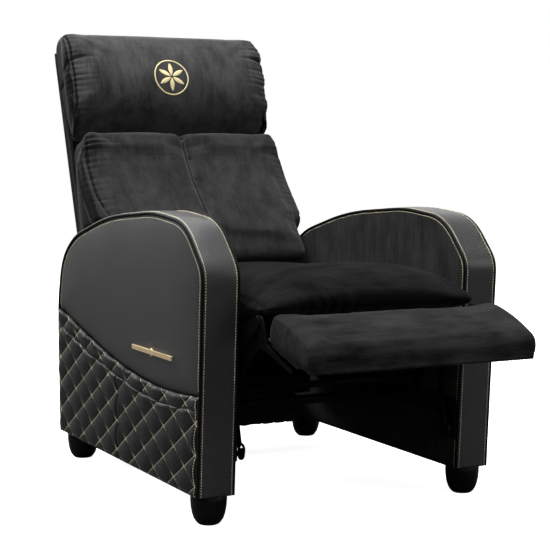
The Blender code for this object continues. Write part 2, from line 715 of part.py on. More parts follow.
def build_wave_spring(name, x, front, rear, z):
    """One unbroken wire that waves from side to side on its way back."""
    curve = bpy.data.curves.new("wire", "CURVE")
    curve.dimensions = "3D"
    curve.bevel_depth = SPRING_WIRE
    curve.bevel_resolution = 0
    curve.use_fill_caps = True
    count = SPRING_WAVES * 4
    spline = curve.splines.new("POLY")
    spline.points.add(count)
    for i, point in enumerate(spline.points):
        share = i / count
        easing = min(1, share * count / 2, (1 - share) * count / 2)
        point.co = (x + SPRING_SWING * easing * sin(2 * pi * SPRING_WAVES * share + pi / 4),
                    front + (rear - front) * share, z, 1)
    add(name, curve, SPRING_STEEL, SEAT_FRAME)


def build_back():
    """Posts, rails and a rear panel, side gussets, brackets and two cushions."""
    panel_front = BACK_REAR_FACE - BACK_PANEL_THICK
    post_rear = panel_front - SEAT_GAP
    post_front = post_rear - BACK_POST_THICK
    block("back_panel", (-BACK_HALF_WIDTH, panel_front, BACK_BOTTOM),
          (BACK_HALF_WIDTH, BACK_REAR_FACE, BACK_FRAME_TOP), VELVET, BACK_FRAME)
    outer = BRACKET_X - SEAT_GAP
    inner = outer - BACK_POST_WIDTH
    gusset_top = GUSSET_TOP_SHARE * BACK_FRAME_TOP
    gusset = rounded((
        (post_front, GUSSET_BOTTOM, 0), (post_rear, GUSSET_BOTTOM, 0), (post_rear, gusset_top, 0),
        (post_rear - GUSSET_THICK, gusset_top, 0),
        (post_front, GUSSET_SHOULDER_SHARE * BACK_FRAME_TOP, GUSSET_THICK * 4)))
    lug = LINK_HALF_WIDTH
    bracket = rounded((
        (-lug * 1.3, -lug, lug), (lug * 2, -lug * 1.3, lug), (post_rear, BACK_BOTTOM, lug),
        (post_rear, BACK_BOTTOM + lug * 12, lug / 2), (post_front, BACK_BOTTOM + lug * 12, lug / 2),
        (post_front, lug * 4.5, lug * 1.5), (0, lug * 1.4, lug), (-lug * 1.3, lug, lug)))
    hole = [circle(0, 0, PIN_RADIUS + PIN_CLEARANCE)]
    for word, side in SIDES:
        low, high = sorted((side * inner, side * outer))
        block(f"back_post_{word}", (low, post_front, BACK_BOTTOM), (high, post_rear, BACK_FRAME_TOP),
              TIMBER, BACK_FRAME)
        plate(f"back_gusset_{word}", gusset,
              *sorted((side * (BACK_HALF_WIDTH - GUSSET_THICK), side * BACK_HALF_WIDTH)), VELVET, BACK_FRAME)
        plate(f"recline_bracket_{word}", bracket,
              *sorted((side * BRACKET_X, side * (BRACKET_X + PLATE_THICK))), STEEL, BACK_FRAME, hole)
    reach = inner - SEAT_GAP
    for place, z in (("bottom", BACK_BOTTOM), ("top", BACK_FRAME_TOP - BACK_RAIL_HEIGHT)):
        block(f"back_{place}_rail", (-reach, post_front, z), (reach, post_rear, z + BACK_RAIL_HEIGHT),
              TIMBER, BACK_FRAME)

    on_post = post_front - SEAT_GAP
    corners = [(on_post - y * BACK_CUSHION_DEPTH, BACK_CUSHION_BOTTOM + z * BACK_CUSHION_HEIGHT,
                r * BACK_CUSHION_DEPTH) for y, z, r in BACK_PROFILE_SHARES]
    soft_solid("back_cushion", rounded(corners), lambda y, z: y > on_post - SEAT_GAP, BACK_HALF_WIDTH,
               BACK_EDGE_ROUND, BACK_CROWN, FORWARDS, VELVET, BACK_FRAME, BACK_SEAM_DEPTH, BACK_SEAM_WIDTH)

    over_top = BACK_FRAME_TOP + SEAT_GAP
    bottom = BACK_CUSHION_BOTTOM + BACK_CUSHION_HEIGHT + HEAD_GAP
    height = BACK_FRAME_TOP + HEAD_OVER - bottom
    corners = [(on_post - y * HEAD_DEPTH, bottom + z * height, r * HEAD_DEPTH)
               for y, z, r in HEAD_PROFILE_SHARES]
    corners += [(BACK_REAR_FACE, bottom + HEAD_REAR_SHARE * height, HEAD_GAP),
                (BACK_REAR_FACE, over_top, 0), (on_post, over_top, 0)]
    soft_solid("head_cushion", rounded(corners),
               lambda y, z: y > on_post - SEAT_GAP and z < over_top + SEAT_GAP,
               BACK_HALF_WIDTH, HEAD_EDGE_ROUND, HEAD_CROWN, FORWARDS, VELVET, BACK_FRAME)


def build_footrest():
    """A board on two brackets with a padded top."""
    top = FOOTREST_TOP
    under = top - FOOTREST_THICK
    pad_base = under + BOARD_THICK + SEAT_GAP
    front = FOOTREST_REAR + FOOTREST_LENGTH
    half = BRACKET_X + PLATE_THICK
    block("footrest_board", (-half, -front + BOARD_INSET, under),
          (half, -FOOTREST_REAR - BOARD_INSET, under + BOARD_THICK), PLYWOOD, FOOTREST_FRAME)
    soft = FOOTREST_EDGE_ROUND
    side_height = top - pad_base
    corners = ((-FOOTREST_REAR, pad_base, 0), (-FOOTREST_REAR, top, soft),
               (-front + soft, top - soft / 4, soft * 3),
               (-front - soft / 8, top - side_height / 2, soft), (-front + soft / 2, pad_base, 0))
    soft_solid("footrest_pad", rounded(corners), lambda y, z: z < pad_base + SEAT_GAP,
               FOOTREST_HALF_WIDTH, soft, FOOTREST_CROWN, UPWARDS, VELVET, FOOTREST_FRAME)

    turn = CRANK_ANGLE - FOOTREST_SLOPE
    crank = (CRANK_LENGTH * cos(turn), CRANK_LENGTH * sin(turn))
    lug = LINK_HALF_WIDTH
    arm_top = under - SEAT_GAP
    outline = rounded((
        (lug * 1.1, -lug, lug), (lug, lug, lug), (-lug, lug, lug), (-FOOTREST_REAR, arm_top, lug / 2),
        (-front + BOARD_INSET * 3, arm_top, 0), (-front + BOARD_INSET * 3, arm_top - lug * 0.7, lug / 2),
        (-FOOTREST_REAR - lug * 2, arm_top - lug, lug * 2), (crank[0] - lug, crank[1] - lug, lug),
        (crank[0] + lug, crank[1] - lug, lug), (crank[0] + lug * 1.1, crank[1] + lug / 2, lug)))
    hole = [circle(0, 0, PIN_RADIUS + PIN_CLEARANCE)]
    for word, side in SIDES:
        span = sorted((side * BRACKET_X, side * (BRACKET_X + PLATE_THICK)))
        piece = plate(f"footrest_bracket_{word}", outline, *span, STEEL, FOOTREST_FRAME, hole)
        add_pin(piece, side, BRACKET_X, DRIVE_X, *crank, FOOTREST_FRAME)


def build_drive_links():
    """Bowed links from the footrest's cranks to the base, slotted at their lower ends."""
    run = Vector((DRIVE_BASE_Y - CRANK_PIN[0], DRIVE_BASE_HEIGHT - CRANK_PIN[1]))
    length = run.length
    along = run.normalized()
    rear = Vector((-along.y, along.x))
    centre = []
    for k in range(DRIVE_STEPS + 1):
        share = k / DRIVE_STEPS
        centre.append(tuple(along * length * share + rear * DRIVE_BOW * 4 * share * (1 - share)))
    across = normals(centre, False)
    half = DRIVE_HALF_WIDTH
    left = [(y + n.x * half, z + n.y * half) for (y, z), n in zip(centre, across)]
    right = [(y - n.x * half, z - n.y * half) for (y, z), n in zip(centre, across)]
    strip = left + right[::-1]
    slot = [Vector((y, z)) for y, z in circle(0, 0, DRIVE_SLOT_RADIUS)]
    slot_end = -along * DRIVE_SLOT_LENGTH
    eye_hole = [tuple(run + p + (slot_end if p.dot(along) < 0 else Vector((0, 0)))) for p in slot]
    eye_corners = [tuple(run + p * (DRIVE_EYE_RADIUS / DRIVE_SLOT_RADIUS)
                         + (slot_end if p.dot(along) < 0 else Vector((0, 0)))) for p in slot]
    for word, side in SIDES:
        span = sorted((side * DRIVE_X, side * (DRIVE_X + PLATE_THICK)))
        link = plate(f"drive_link_{word}", strip, *span, STEEL, DRIVE_FRAME)
        crank_eye = plate(f"crank_eye_{word}", circle(0, 0, LINK_HALF_WIDTH), *span, None, DRIVE_FRAME, (),
                          CUTTERS)
        base_eye = plate(f"base_eye_{word}", eye_corners, *span, None, DRIVE_FRAME, (), CUTTERS)
        past = (span[0] - OVERRUN, span[1] + OVERRUN)
        crank_hole = plate(f"crank_hole_{word}", circle(0, 0, PIN_RADIUS + PIN_CLEARANCE), *past, None,
                           DRIVE_FRAME, (), CUTTERS)
        base_hole = plate(f"base_hole_{word}", eye_hole, *past, None, DRIVE_FRAME, (), CUTTERS)
        use(link, crank_eye, "UNION")
        use(link, base_eye, "UNION")
        use(link, crank_hole, "DIFFERENCE")
        use(link, base_hole, "DIFFERENCE")


for arm_word, arm_side in SIDES:
    build_arm(arm_word, arm_side)
build_base()
build_swing_links()
build_seat()
build_back()
build_footrest()
build_drive_links()
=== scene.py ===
# %% [markdown]
# # A push-back recliner, dressed for the camera
# The CAD model holds the chair's solids, at their real size and place. Here they become a
# frame, and each upholstered part gets the shape that foam, leather, velvet and thread give it.
# Lengths are in metres. The sitter looks along -Y, and +X is the sitter's left.

from math import ceil, cos, exp, pi, radians, sin

import bmesh
import bpy
import numpy as np
from mathutils import Matrix, Vector, geometry, kdtree, noise
from mathutils.bvhtree import BVHTree


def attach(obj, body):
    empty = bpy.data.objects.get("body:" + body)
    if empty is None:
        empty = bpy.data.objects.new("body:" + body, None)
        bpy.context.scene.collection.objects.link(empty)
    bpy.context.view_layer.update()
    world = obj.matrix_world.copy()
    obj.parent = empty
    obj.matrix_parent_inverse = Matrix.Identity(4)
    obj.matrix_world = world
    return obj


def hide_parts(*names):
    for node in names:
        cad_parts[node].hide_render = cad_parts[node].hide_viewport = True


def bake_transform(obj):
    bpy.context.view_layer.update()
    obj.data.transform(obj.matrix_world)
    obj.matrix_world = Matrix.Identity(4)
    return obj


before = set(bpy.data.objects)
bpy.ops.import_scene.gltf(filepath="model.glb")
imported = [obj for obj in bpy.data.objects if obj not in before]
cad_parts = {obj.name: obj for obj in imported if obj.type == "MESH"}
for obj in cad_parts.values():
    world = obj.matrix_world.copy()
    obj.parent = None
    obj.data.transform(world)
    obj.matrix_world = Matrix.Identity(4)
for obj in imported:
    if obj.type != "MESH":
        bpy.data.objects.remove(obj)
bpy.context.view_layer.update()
scene = bpy.context.scene
SIDES = (("right", -1), ("left", 1))

# %% [markdown]
# The camera repeats the photograph's view. Its place, turn and focal length come from fitting
# the arms' corners, the feet and the footrest to the picture.

# %% The camera
CAMERA_PLACE = Vector((-1.615, -3.050, 0.786))
CAMERA_YAW, CAMERA_PITCH, CAMERA_ROLL = radians(28.31), radians(5.21), radians(0.54)
FOCAL_PIXELS, PICTURE_PIXELS = 1477.8, 550
ahead = Vector((sin(CAMERA_YAW) * cos(CAMERA_PITCH), cos(CAMERA_YAW) * cos(CAMERA_PITCH),
                -sin(CAMERA_PITCH)))
level = Vector((cos(CAMERA_YAW), -sin(CAMERA_YAW), 0))
upright = level.cross(ahead)
camera_right = level * cos(CAMERA_ROLL) + upright * sin(CAMERA_ROLL)
camera_up = upright * cos(CAMERA_ROLL) - level * sin(CAMERA_ROLL)
camera = bpy.data.objects.new("camera", bpy.data.cameras.new("camera"))
scene.collection.objects.link(camera)
camera.data.sensor_width = 36
camera.data.lens = FOCAL_PIXELS / PICTURE_PIXELS * camera.data.sensor_width
turn = Matrix((camera_right, camera_up, -ahead)).transposed()
camera.matrix_world = Matrix.Translation(CAMERA_PLACE) @ turn.to_4x4()
scene.camera = camera
print("lens", round(camera.data.lens, 1), "mm")

# %% [markdown]
# Materials and the world are node trees. A small class wraps a socket, so that shader maths
# reads as sums, and one method adds every other kind of node.

# %% Node trees as expressions
class Signal:
    """One output of a node, which adds, multiplies and compares as a number does."""

    def __init__(self, tree, socket):
        self.tree = tree
        self.socket = socket

    def math(self, operation, *others):
        values = dict(enumerate((self, *others)))
        return self.tree.node("ShaderNodeMath", {"operation": operation}, values)

    def __add__(self, other):
        return self.math("ADD", other)

    def __mul__(self, other):
        return self.math("MULTIPLY", other)

    def __sub__(self, other):
        return self.math("SUBTRACT", other)

    def __rsub__(self, other):
        return self.math("MULTIPLY_ADD", -1, other)

    def __truediv__(self, other):
        return self.math("DIVIDE", other)

    __radd__ = __add__
    __rmul__ = __mul__


class Tree:
    """A node tree, and the one way in which nodes are added to it."""

    def __init__(self, owner):
        owner.use_nodes = True
        self.nodes = owner.node_tree.nodes
        self.links = owner.node_tree.links

    def plug(self, socket, value):
        if isinstance(value, Signal):
            self.links.new(value.socket, socket)
        else:
            socket.default_value = value

    def node(self, kind, settings=None, values=None, output=0):
        made = self.nodes.new(kind)
        for key, value in (settings or {}).items():
            if key == "stops":
                ramp = made.color_ramp.elements
                for stop, (place, grey) in zip((ramp[0], ramp[1]), value):
                    stop.position = place
                    stop.color = (grey, grey, grey, 1)
            else:
                setattr(made, key, value)
        for socket, value in (values or {}).items():
            self.plug(made.inputs[socket], value)
        return Signal(self, made.outputs[output])


class Finish(Tree):
    """A material, with sockets that are the same all over set on the shader itself."""

    def __init__(self, name, **fixed):
        self.material = bpy.data.materials.new(name)
        super().__init__(self.material)
        self.shader = self.nodes["Principled BSDF"]
        for socket, value in fixed.items():
            self.shader.inputs[socket.replace("_", " ")].default_value = value

    def feed(self, socket, value):
        self.plug(self.shader.inputs[socket], value)

    def place(self):
        return self.node("ShaderNodeTexCoord", output="Object")

    def stretched(self, vector, scale):
        return self.node("ShaderNodeVectorMath", {"operation": "MULTIPLY"}, {0: vector, 1: scale})

    def cloud(self, vector, scale, detail=3, roughness=0.5):
        values = {"Vector": vector, "Scale": scale, "Detail": detail, "Roughness": roughness}
        return self.node("ShaderNodeTexNoise", None, values)

    def tint(self, amount, dark, light):
        values = {0: amount, 6: (*dark, 1), 7: (*light, 1)}
        return self.node("ShaderNodeMix", {"data_type": "RGBA"}, values, 2)

    def spread(self, value, low, high, to_low=0.0, to_high=1.0):
        values = {"Value": value, "From Min": low, "From Max": high, "To Min": to_low, "To Max": to_high}
        return self.node("ShaderNodeMapRange", None, values)

    def bump(self, height, depth):
        values = {"Height": height, "Distance": depth}
        self.feed("Normal", self.node("ShaderNodeBump", None, values))


print("node helpers ready")

# %% [markdown]
# The light is plain and soft: a broad lamp overhead, a weaker one at each side, a faint one in
# front, one far behind that grazes the tops, and a little from all round. Rays that the camera
# sends meet white, so the background is white without more light on the chair. A shiny face
# reflects a white backdrop that stands behind the chair and fades towards the dim room.

# %% The world and the lamps
world = bpy.data.worlds.new("studio")
scene.world = world
sky = Tree(world)
AMBIENT = 0.10
BACKDROP_WAY = (0.47, 0.88, 0)
seen = sky.node("ShaderNodeLightPath", output="Is Camera Ray")
glossy = sky.node("ShaderNodeLightPath", output="Is Glossy Ray")
passed = sky.node("ShaderNodeLightPath", output="Is Transmission Ray")
way = sky.node("ShaderNodeTexCoord", output="Generated")
facing = sky.node("ShaderNodeVectorMath", {"operation": "DOT_PRODUCT"}, {0: way, 1: BACKDROP_WAY}, "Value")
paper = sky.node("ShaderNodeMapRange", None, {"Value": facing, "From Min": 0.15, "From Max": 0.9})
strength = (glossy * paper * (1 - AMBIENT) + AMBIENT).math("MAXIMUM", seen).math("MAXIMUM", passed)
sky.plug(sky.nodes["Background"].inputs["Color"], (1, 1, 1, 1))
sky.plug(sky.nodes["Background"].inputs["Strength"], strength)
LAMPS = (("top", (-0.5, 0.1, 3.2), (0, 0, 0.4), 2.6, 205),
         ("side", (-3.0, -0.2, 2.5), (0, 0, 0.5), 1.8, 50),
         ("far_side", (2.7, -2.9, 1.9), (0, 0, 0.5), 1.8, 44),
         ("front", (-0.8, -3.8, 1.7), (0, 0, 0.5), 2.0, 17),
         ("rim", (-0.3, 4.2, 2.4), (0, 0, 0.6), 2.2, 190))
for lamp_name, lamp_place, aim, size, power in LAMPS:
    lamp = bpy.data.objects.new(f"lamp_{lamp_name}", bpy.data.lights.new(lamp_name, "AREA"))
    scene.collection.objects.link(lamp)
    lamp.data.size = size
    lamp.data.energy = power
    lamp.location = lamp_place
    lamp.rotation_euler = (Vector(aim) - lamp.location).to_track_quat("-Z", "Y").to_euler()
scene.view_settings.view_transform = "Standard"
print("lamps", [lamp_name for lamp_name, *_ in LAMPS])

# %% [markdown]
# The floor is white and a little brighter to the camera than its lit colour, so that it meets
# the white background and still keeps the chair's shadow. It throws less light back at the
# chair than white paper would, which keeps the undersides dark.

# %% The floor
FLOOR_SIZE = 12.0
bm = bmesh.new()
bmesh.ops.create_grid(bm, x_segments=4, y_segments=4, size=FLOOR_SIZE)
floor_mesh = bpy.data.meshes.new("floor")
bm.to_mesh(floor_mesh)
bm.free()
ground = bpy.data.objects.new("floor", floor_mesh)
scene.collection.objects.link(ground)
paper = Finish("white paper floor", Base_Color=(0.90, 0.90, 0.90, 1), Roughness=0.9, Specular_IOR_Level=0.0)
seen = paper.node("ShaderNodeLightPath", output="Is Camera Ray")
glow = paper.node("ShaderNodeEmission", None, {"Color": (1, 1, 1, 1), "Strength": 0.93})
lit = Signal(paper, paper.shader.outputs[0])
both = paper.node("ShaderNodeAddShader", None, {0: lit, 1: glow})
dim = paper.node("ShaderNodeBsdfDiffuse", None, {"Color": (0.14, 0.14, 0.14, 1)})
paper.plug(paper.nodes["Material Output"].inputs["Surface"],
           paper.node("ShaderNodeMixShader", None, {0: seen, 1: dim, 2: both}))
floor_mesh.materials.append(paper.material)
print("floor", FLOOR_SIZE * 2, "m across")

# %% [markdown]
# The seat, back, head roll and inner arms wear a short-pile velvet, nearly black. Its pile
# shows fine slubs that all run one way, and soft clouds where it lies flatter. Sheen gives the
# pale bloom on curves that turn away. Each part has its own direction of slub and its own
# lightness, so the finish is a function of both. It is all one cloth, so the lightness is painted
# light and shade: the head roll's velvet is lighter, as painted light from above, and the seat's
# and the side panels' are darker, as painted shade.

# %% Velvet
def velvet(name, stretch, light, sheen, tilt=0.0, gloss=0.05):
    cloth = Finish(name, Specular_IOR_Level=gloss, Sheen_Weight=sheen, Sheen_Roughness=0.45,
                   Sheen_Tint=(0.80, 0.80, 0.82, 1))
    turned = cloth.node("ShaderNodeVectorRotate", {"rotation_type": "X_AXIS"},
                        {"Vector": cloth.place(), "Angle": tilt})
    slub = cloth.cloud(cloth.stretched(turned, stretch), 1.0, 4, 0.62)
    thread = cloth.cloud(cloth.stretched(turned, [s * 4 for s in stretch]), 1.0, 2, 0.6)
    clouds = cloth.cloud(cloth.place(), 11.0, 4, 0.6)
    brushed = cloth.cloud(cloth.stretched(turned, [s ** 0.5 * 2.6 for s in stretch]), 1.0, 3, 0.6)
    shade = slub * 0.30 + thread * 0.10 + clouds * 0.45 + brushed * 0.45
    cloth.feed("Base Color", cloth.tint(cloth.spread(shade, 0.47, 0.85), [light * 0.20] * 3, [light] * 3))
    cloth.feed("Roughness", cloth.spread(clouds, 0.3, 0.7, 0.72, 0.92))
    cloth.bump(slub * 0.5 + thread * 0.5, 0.0005)
    return cloth.material


BACK_TILT = radians(19.5)
# One cloth in six copies of different lightness: the head roll's copy is painted lighter, as light from
# above, and the seat's and the side panels' are painted darker, as shade.
VELVET_UPRIGHT = velvet("velvet, slubs upright", (210, 210, 17), 0.030, 0.05)
VELVET_BACK = velvet("velvet, slubs up the back", (210, 210, 17), 0.029, 0.12, BACK_TILT)
VELVET_HEAD_PAINTED_LIGHT = velvet("velvet, slubs up the head roll", (210, 210, 17), 0.050, 0.14, BACK_TILT)
VELVET_SEAT_PAINTED_SHADE = velvet("velvet, slubs across", (17, 210, 210), 0.015, 0.02, 0.0, 0.0)
VELVET_REST = velvet("velvet, slubs across the footrest", (17, 210, 210), 0.030, 0.03, 0.0, 0.0)
VELVET_SIDE_PAINTED_SHADE = velvet("velvet, side panels", (210, 210, 17), 0.010, 0.04, BACK_TILT)
print("velvets", VELVET_BACK.name, VELVET_SEAT_PAINTED_SHADE.name)

# %% [markdown]
# The arms' upper sides are smooth artificial leather with a fine pebbled grain. The quilted
# panels below are the same leather, given a darker colour that paints shade. Grain is a
# Voronoi pattern of cells about a millimetre wide.

# %% Smooth leather
def leather(name, dark, light, roughness, level):
    hide = Finish(name, Specular_IOR_Level=level)
    cells = hide.node("ShaderNodeTexVoronoi", {"feature": "DISTANCE_TO_EDGE"},
                      {"Vector": hide.place(), "Scale": 900.0})
    grain = hide.spread(cells, 0.0, 0.25)
    clouds = hide.cloud(hide.place(), 9.0, 3)
    fine = hide.cloud(hide.place(), 420.0, 2)
    hide.feed("Base Color", hide.tint(clouds * 0.7 + grain * 0.3, dark, light))
    hide.feed("Roughness", hide.spread(clouds + fine * 0.4, 0.4, 1.0, roughness - 0.05, roughness + 0.08))
    hide.bump(grain * 0.5 + fine * 0.8, 0.00022)
    return hide.material


SMOOTH = leather("smooth black leather", (0.024, 0.024, 0.0245), (0.033, 0.033, 0.0335), 0.44, 0.20)
# The quilted copy is darker than the smooth one though it is the same leather: painted shade.
QUILTED_PAINTED_SHADE = leather("quilted black leather", (0.0040, 0.0040, 0.0042), (0.0085, 0.0085, 0.0088), 0.36, 0.13)
PIPING = leather("piping leather", (0.0025, 0.0025, 0.0027), (0.005, 0.005, 0.0052), 0.50, 0.05)
print("leathers", SMOOTH.name, QUILTED_PAINTED_SHADE.name, PIPING.name)

# %% [markdown]
# The band over each arm is embossed with a twill like woven carbon fibre: short tows that step
# sideways row by row, which the eye reads as slanting lines 5 mm apart. It follows a UV map in
# metres, so that the slant is the same on the front, the curve and the top.

# %% Twill leather
TOW_ACROSS, TOW_ALONG, TOWS_APART = 0.00210, 0.00145, 4
twill = Finish("twill embossed leather", Specular_IOR_Level=0.25, Coat_Weight=0.35, Coat_Roughness=0.30)
uv = twill.node("ShaderNodeUVMap", {"uv_map": "strip"})
across = twill.node("ShaderNodeSeparateXYZ", None, {"Vector": uv}, "X") / TOW_ACROSS
along = twill.node("ShaderNodeSeparateXYZ", None, {"Vector": uv}, "Y") / TOW_ALONG
step = (across.math("FLOOR") - along.math("FLOOR")) / TOWS_APART
over = step.math("FRACT").math("LESS_THAN", 0.5)
ridge = ((across - along) * (pi / 2)).math("SINE") * 0.5 + 0.5
tow_across = (across.math("FRACT") * pi).math("SINE")
tow_along = (along.math("FRACT") * pi).math("SINE")
weave = over * tow_across + (1 - over) * tow_along * 0.7
relief = weave * 0.45 + ridge * 0.55
clouds = twill.cloud(twill.place(), 8.0, 3)
# The colour follows the relief: lighter on the tows' ridges and nearly black in the grooves, which paints
# the highlights the ridges catch and the shade between them.
twill.feed("Base Color", twill.tint(twill.spread(relief * 0.9 + clouds * 0.2, 0.38, 0.95),
                                    (0.0005, 0.0005, 0.0006), (0.048, 0.048, 0.049)))
twill.feed("Roughness", twill.spread(relief, 0.0, 1.0, 0.52, 0.26))
twill.bump(relief, 0.0015)
TWILL = twill.material
print("twill lines", round(TOW_ALONG * TOWS_APART * 1000, 1), "mm apart")

# %% [markdown]
# Thread is pale gold, twisted, so its colour changes finely along it. The metal bar and the
# embroidery share its hue. The feet are moulded plastic with a faint texture. The frame inside
# is pine, plywood, spring wire and black steel, and the rails and posts that show from above or
# from behind are covered in lining cloth.

# %% Threads, plastic, metal and wood
def speckled(name, dark, light, scale, depth, roughness, **fixed):
    stuff = Finish(name, **fixed)
    specks = stuff.cloud(stuff.place(), scale, 3, 0.6)
    clouds = stuff.cloud(stuff.place(), scale / 30, 3)
    stuff.feed("Base Color", stuff.tint(stuff.spread(specks * 0.6 + clouds * 0.4, 0.35, 0.65), dark, light))
    stuff.feed("Roughness", stuff.spread(clouds, 0.3, 0.7, roughness - 0.06, roughness + 0.08))
    stuff.bump(specks, depth)
    return stuff.material


def grained(name, dark, light, stretch, roughness):
    board = Finish(name, Roughness=roughness)
    rings = board.cloud(board.stretched(board.place(), stretch), 1.0, 5, 0.65)
    fine = board.cloud(board.stretched(board.place(), [s * 5 for s in stretch]), 1.0, 2)
    board.feed("Base Color", board.tint(board.spread(rings * 0.8 + fine * 0.2, 0.35, 0.65), dark, light))
    board.bump(rings + fine * 0.5, 0.0003)
    return board.material


GOLD_THREAD = speckled("pale gold thread", (0.46, 0.41, 0.25), (0.86, 0.80, 0.56), 1500, 0.0002, 0.6)
DULL_THREAD = speckled("velvet seam thread", (0.030, 0.030, 0.030), (0.070, 0.070, 0.070), 1500, 0.0002, 0.7)
GOLD_METAL = speckled("brushed gold trim", (0.60, 0.46, 0.24), (0.82, 0.66, 0.38), 700, 0.00003, 0.34,
                      Metallic=0.6)
FOOT_PLASTIC = speckled("black foot plastic", (0.0015, 0.0015, 0.0016), (0.0035, 0.0035, 0.0036), 1100,
                        0.00008, 0.42, Specular_IOR_Level=0.10)
LINING = speckled("black lining cloth", (0.004, 0.004, 0.004), (0.011, 0.011, 0.011), 1300, 0.0003, 0.9,
                  Specular_IOR_Level=0.1)
BLACK_STEEL = speckled("black painted steel", (0.0012, 0.0012, 0.0013), (0.0026, 0.0026, 0.0027), 600,
                       0.00006, 0.55, Specular_IOR_Level=0.06)
WIRE = speckled("drawn spring wire", (0.20, 0.20, 0.21), (0.34, 0.34, 0.35), 800, 0.00003, 0.35,
                Metallic=1.0)
PINE = grained("sawn pine", (0.30, 0.19, 0.09), (0.52, 0.37, 0.20), (60, 6, 60), 0.75)
PLYWOOD = grained("plywood face", (0.33, 0.22, 0.12), (0.54, 0.40, 0.24), (50, 5, 50), 0.7)
satin = Finish("pale gold satin stitch", Roughness=0.5, Sheen_Weight=0.2)
strip_map = satin.node("ShaderNodeUVMap", {"uv_map": "strip"})
lay = satin.node("ShaderNodeSeparateXYZ", None, {"Vector": strip_map}, "X")
strands = (lay * (2 * pi / 0.0009)).math("SINE") * 0.5 + 0.5
fuzz = satin.cloud(satin.place(), 700.0)
satin.feed("Base Color", satin.tint(strands * 0.5 + fuzz * 0.5, (0.42, 0.34, 0.16), (0.74, 0.62, 0.34)))
satin.bump(strands, 0.00015)
SATIN_STITCH = satin.material
for node_name, cad_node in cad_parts.items():
    wood = PLYWOOD if "board" in node_name else PINE
    timber = "post" in node_name or "board" in node_name or "rail" in node_name and "base" not in node_name
    finish = WIRE if "spring" in node_name else wood if timber else BLACK_STEEL
    if node_name.startswith(("back_top_rail", "back_post", "seat_rear_rail", "seat_side_rail")):
        finish = LINING
    cad_node.data.materials.clear()
    cad_node.data.materials.append(finish)
print("bare frame parts", len(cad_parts))

# %% [markdown]
# Every dressed piece ends the same way: it gets its finish, rides on a body, and stands for
# the CAD nodes that it covers, which are hidden.

# %% Finishing a piece
def placed(name, data):
    made = bpy.data.objects.new(name, data)
    scene.collection.objects.link(made)
    return made


def piece_from(name, bm, smooth=True):
    data = bpy.data.meshes.new(name)
    bm.to_mesh(data)
    bm.free()
    if smooth:
        data.shade_smooth()
    return placed(name, data)


def apply_modifiers(piece):
    shape = piece.evaluated_get(bpy.context.evaluated_depsgraph_get())
    data = bpy.data.meshes.new_from_object(shape)
    piece.modifiers.clear()
    piece.data = data
    return piece


def thicken(piece, wall, offset=-1):
    """Give a skin of faces a thickness: inwards, or outwards with offset 1, or both ways with 0."""
    solid = piece.modifiers.new("thickness", "SOLIDIFY")
    solid.thickness = wall
    solid.offset = offset
    return apply_modifiers(piece)


def face_towards(bm, way, wanted=lambda face: True):
    """Turn all faces over if, taken together, the wanted ones look away from a direction."""
    bmesh.ops.recalc_face_normals(bm, faces=bm.faces)
    if sum(f.normal.dot(way) * f.calc_area() for f in bm.faces if wanted(f)) < 0:
        bmesh.ops.reverse_faces(bm, faces=bm.faces)


def lay_uv(bm, places):
    """A UV map in metres, from each vertex's place on its strip."""
    uv_layer = bm.loops.layers.uv.new("strip")
    for face in bm.faces:
        for loop in face.loops:
            loop[uv_layer].uv = places[loop.vert.index]


def dress(piece, finish, body, stands_for=()):
    piece.data.materials.clear()
    piece.data.materials.append(finish)
    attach(piece, body)
    if stands_for:
        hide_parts(*stands_for)
    return piece


# %% [markdown]
# The arm's outline is the same for the band, the panels, the piping and the seams, so it comes
# first. It is a row of corners as shares of the arm's length and height, each rounded by a
# Bezier arc. The line is then walked in even steps and averaged with its neighbours a few
# times, because wadding under leather leaves no kinks.

# %% The arm's outline
ARM_FRONT, ARM_LENGTH, ARM_BASE, ARM_RISE = -0.405, 0.820, 0.062, 0.570
ARM_INNER, ARM_OUTER = 0.274, 0.360
ARM_CORNERS = ((0.010, 0.000, 0.00), (-0.015, 0.815, 0.055), (0.095, 0.980, 0.16), (0.290, 1.004, 0.60),
               (0.600, 0.966, 1.20), (0.858, 0.866, 0.28), (0.965, 0.765, 0.16), (1.002, 0.550, 0.30),
               (0.985, 0.000, 0.00))


def on_arm(share_y, share_z):
    return Vector((ARM_FRONT + share_y * ARM_LENGTH, ARM_BASE + share_z * ARM_RISE))


def evenly(points, step):
    """Points walked again in equal steps, with both ends kept."""
    lengths = [0.0]
    for a, b in zip(points, points[1:]):
        lengths.append(lengths[-1] + (b - a).length)
    count = max(2, round(lengths[-1] / step))
    walked = []
    k = 0
    for i in range(count + 1):
        goal = lengths[-1] * i / count
        while k < len(points) - 2 and lengths[k + 1] < goal:
            k += 1
        share = (goal - lengths[k]) / max(lengths[k + 1] - lengths[k], 1e-9)
        walked.append(points[k].lerp(points[k + 1], share))
    return walked


def left_normals(points):
    """Unit normals on the left of a path in Y and Z, which is the arm's outside."""
    found = []
    for i in range(len(points)):
        run = points[min(i + 1, len(points) - 1)] - points[max(i - 1, 0)]
        found.append(Vector((-run.y, run.x)).normalized())
    return found


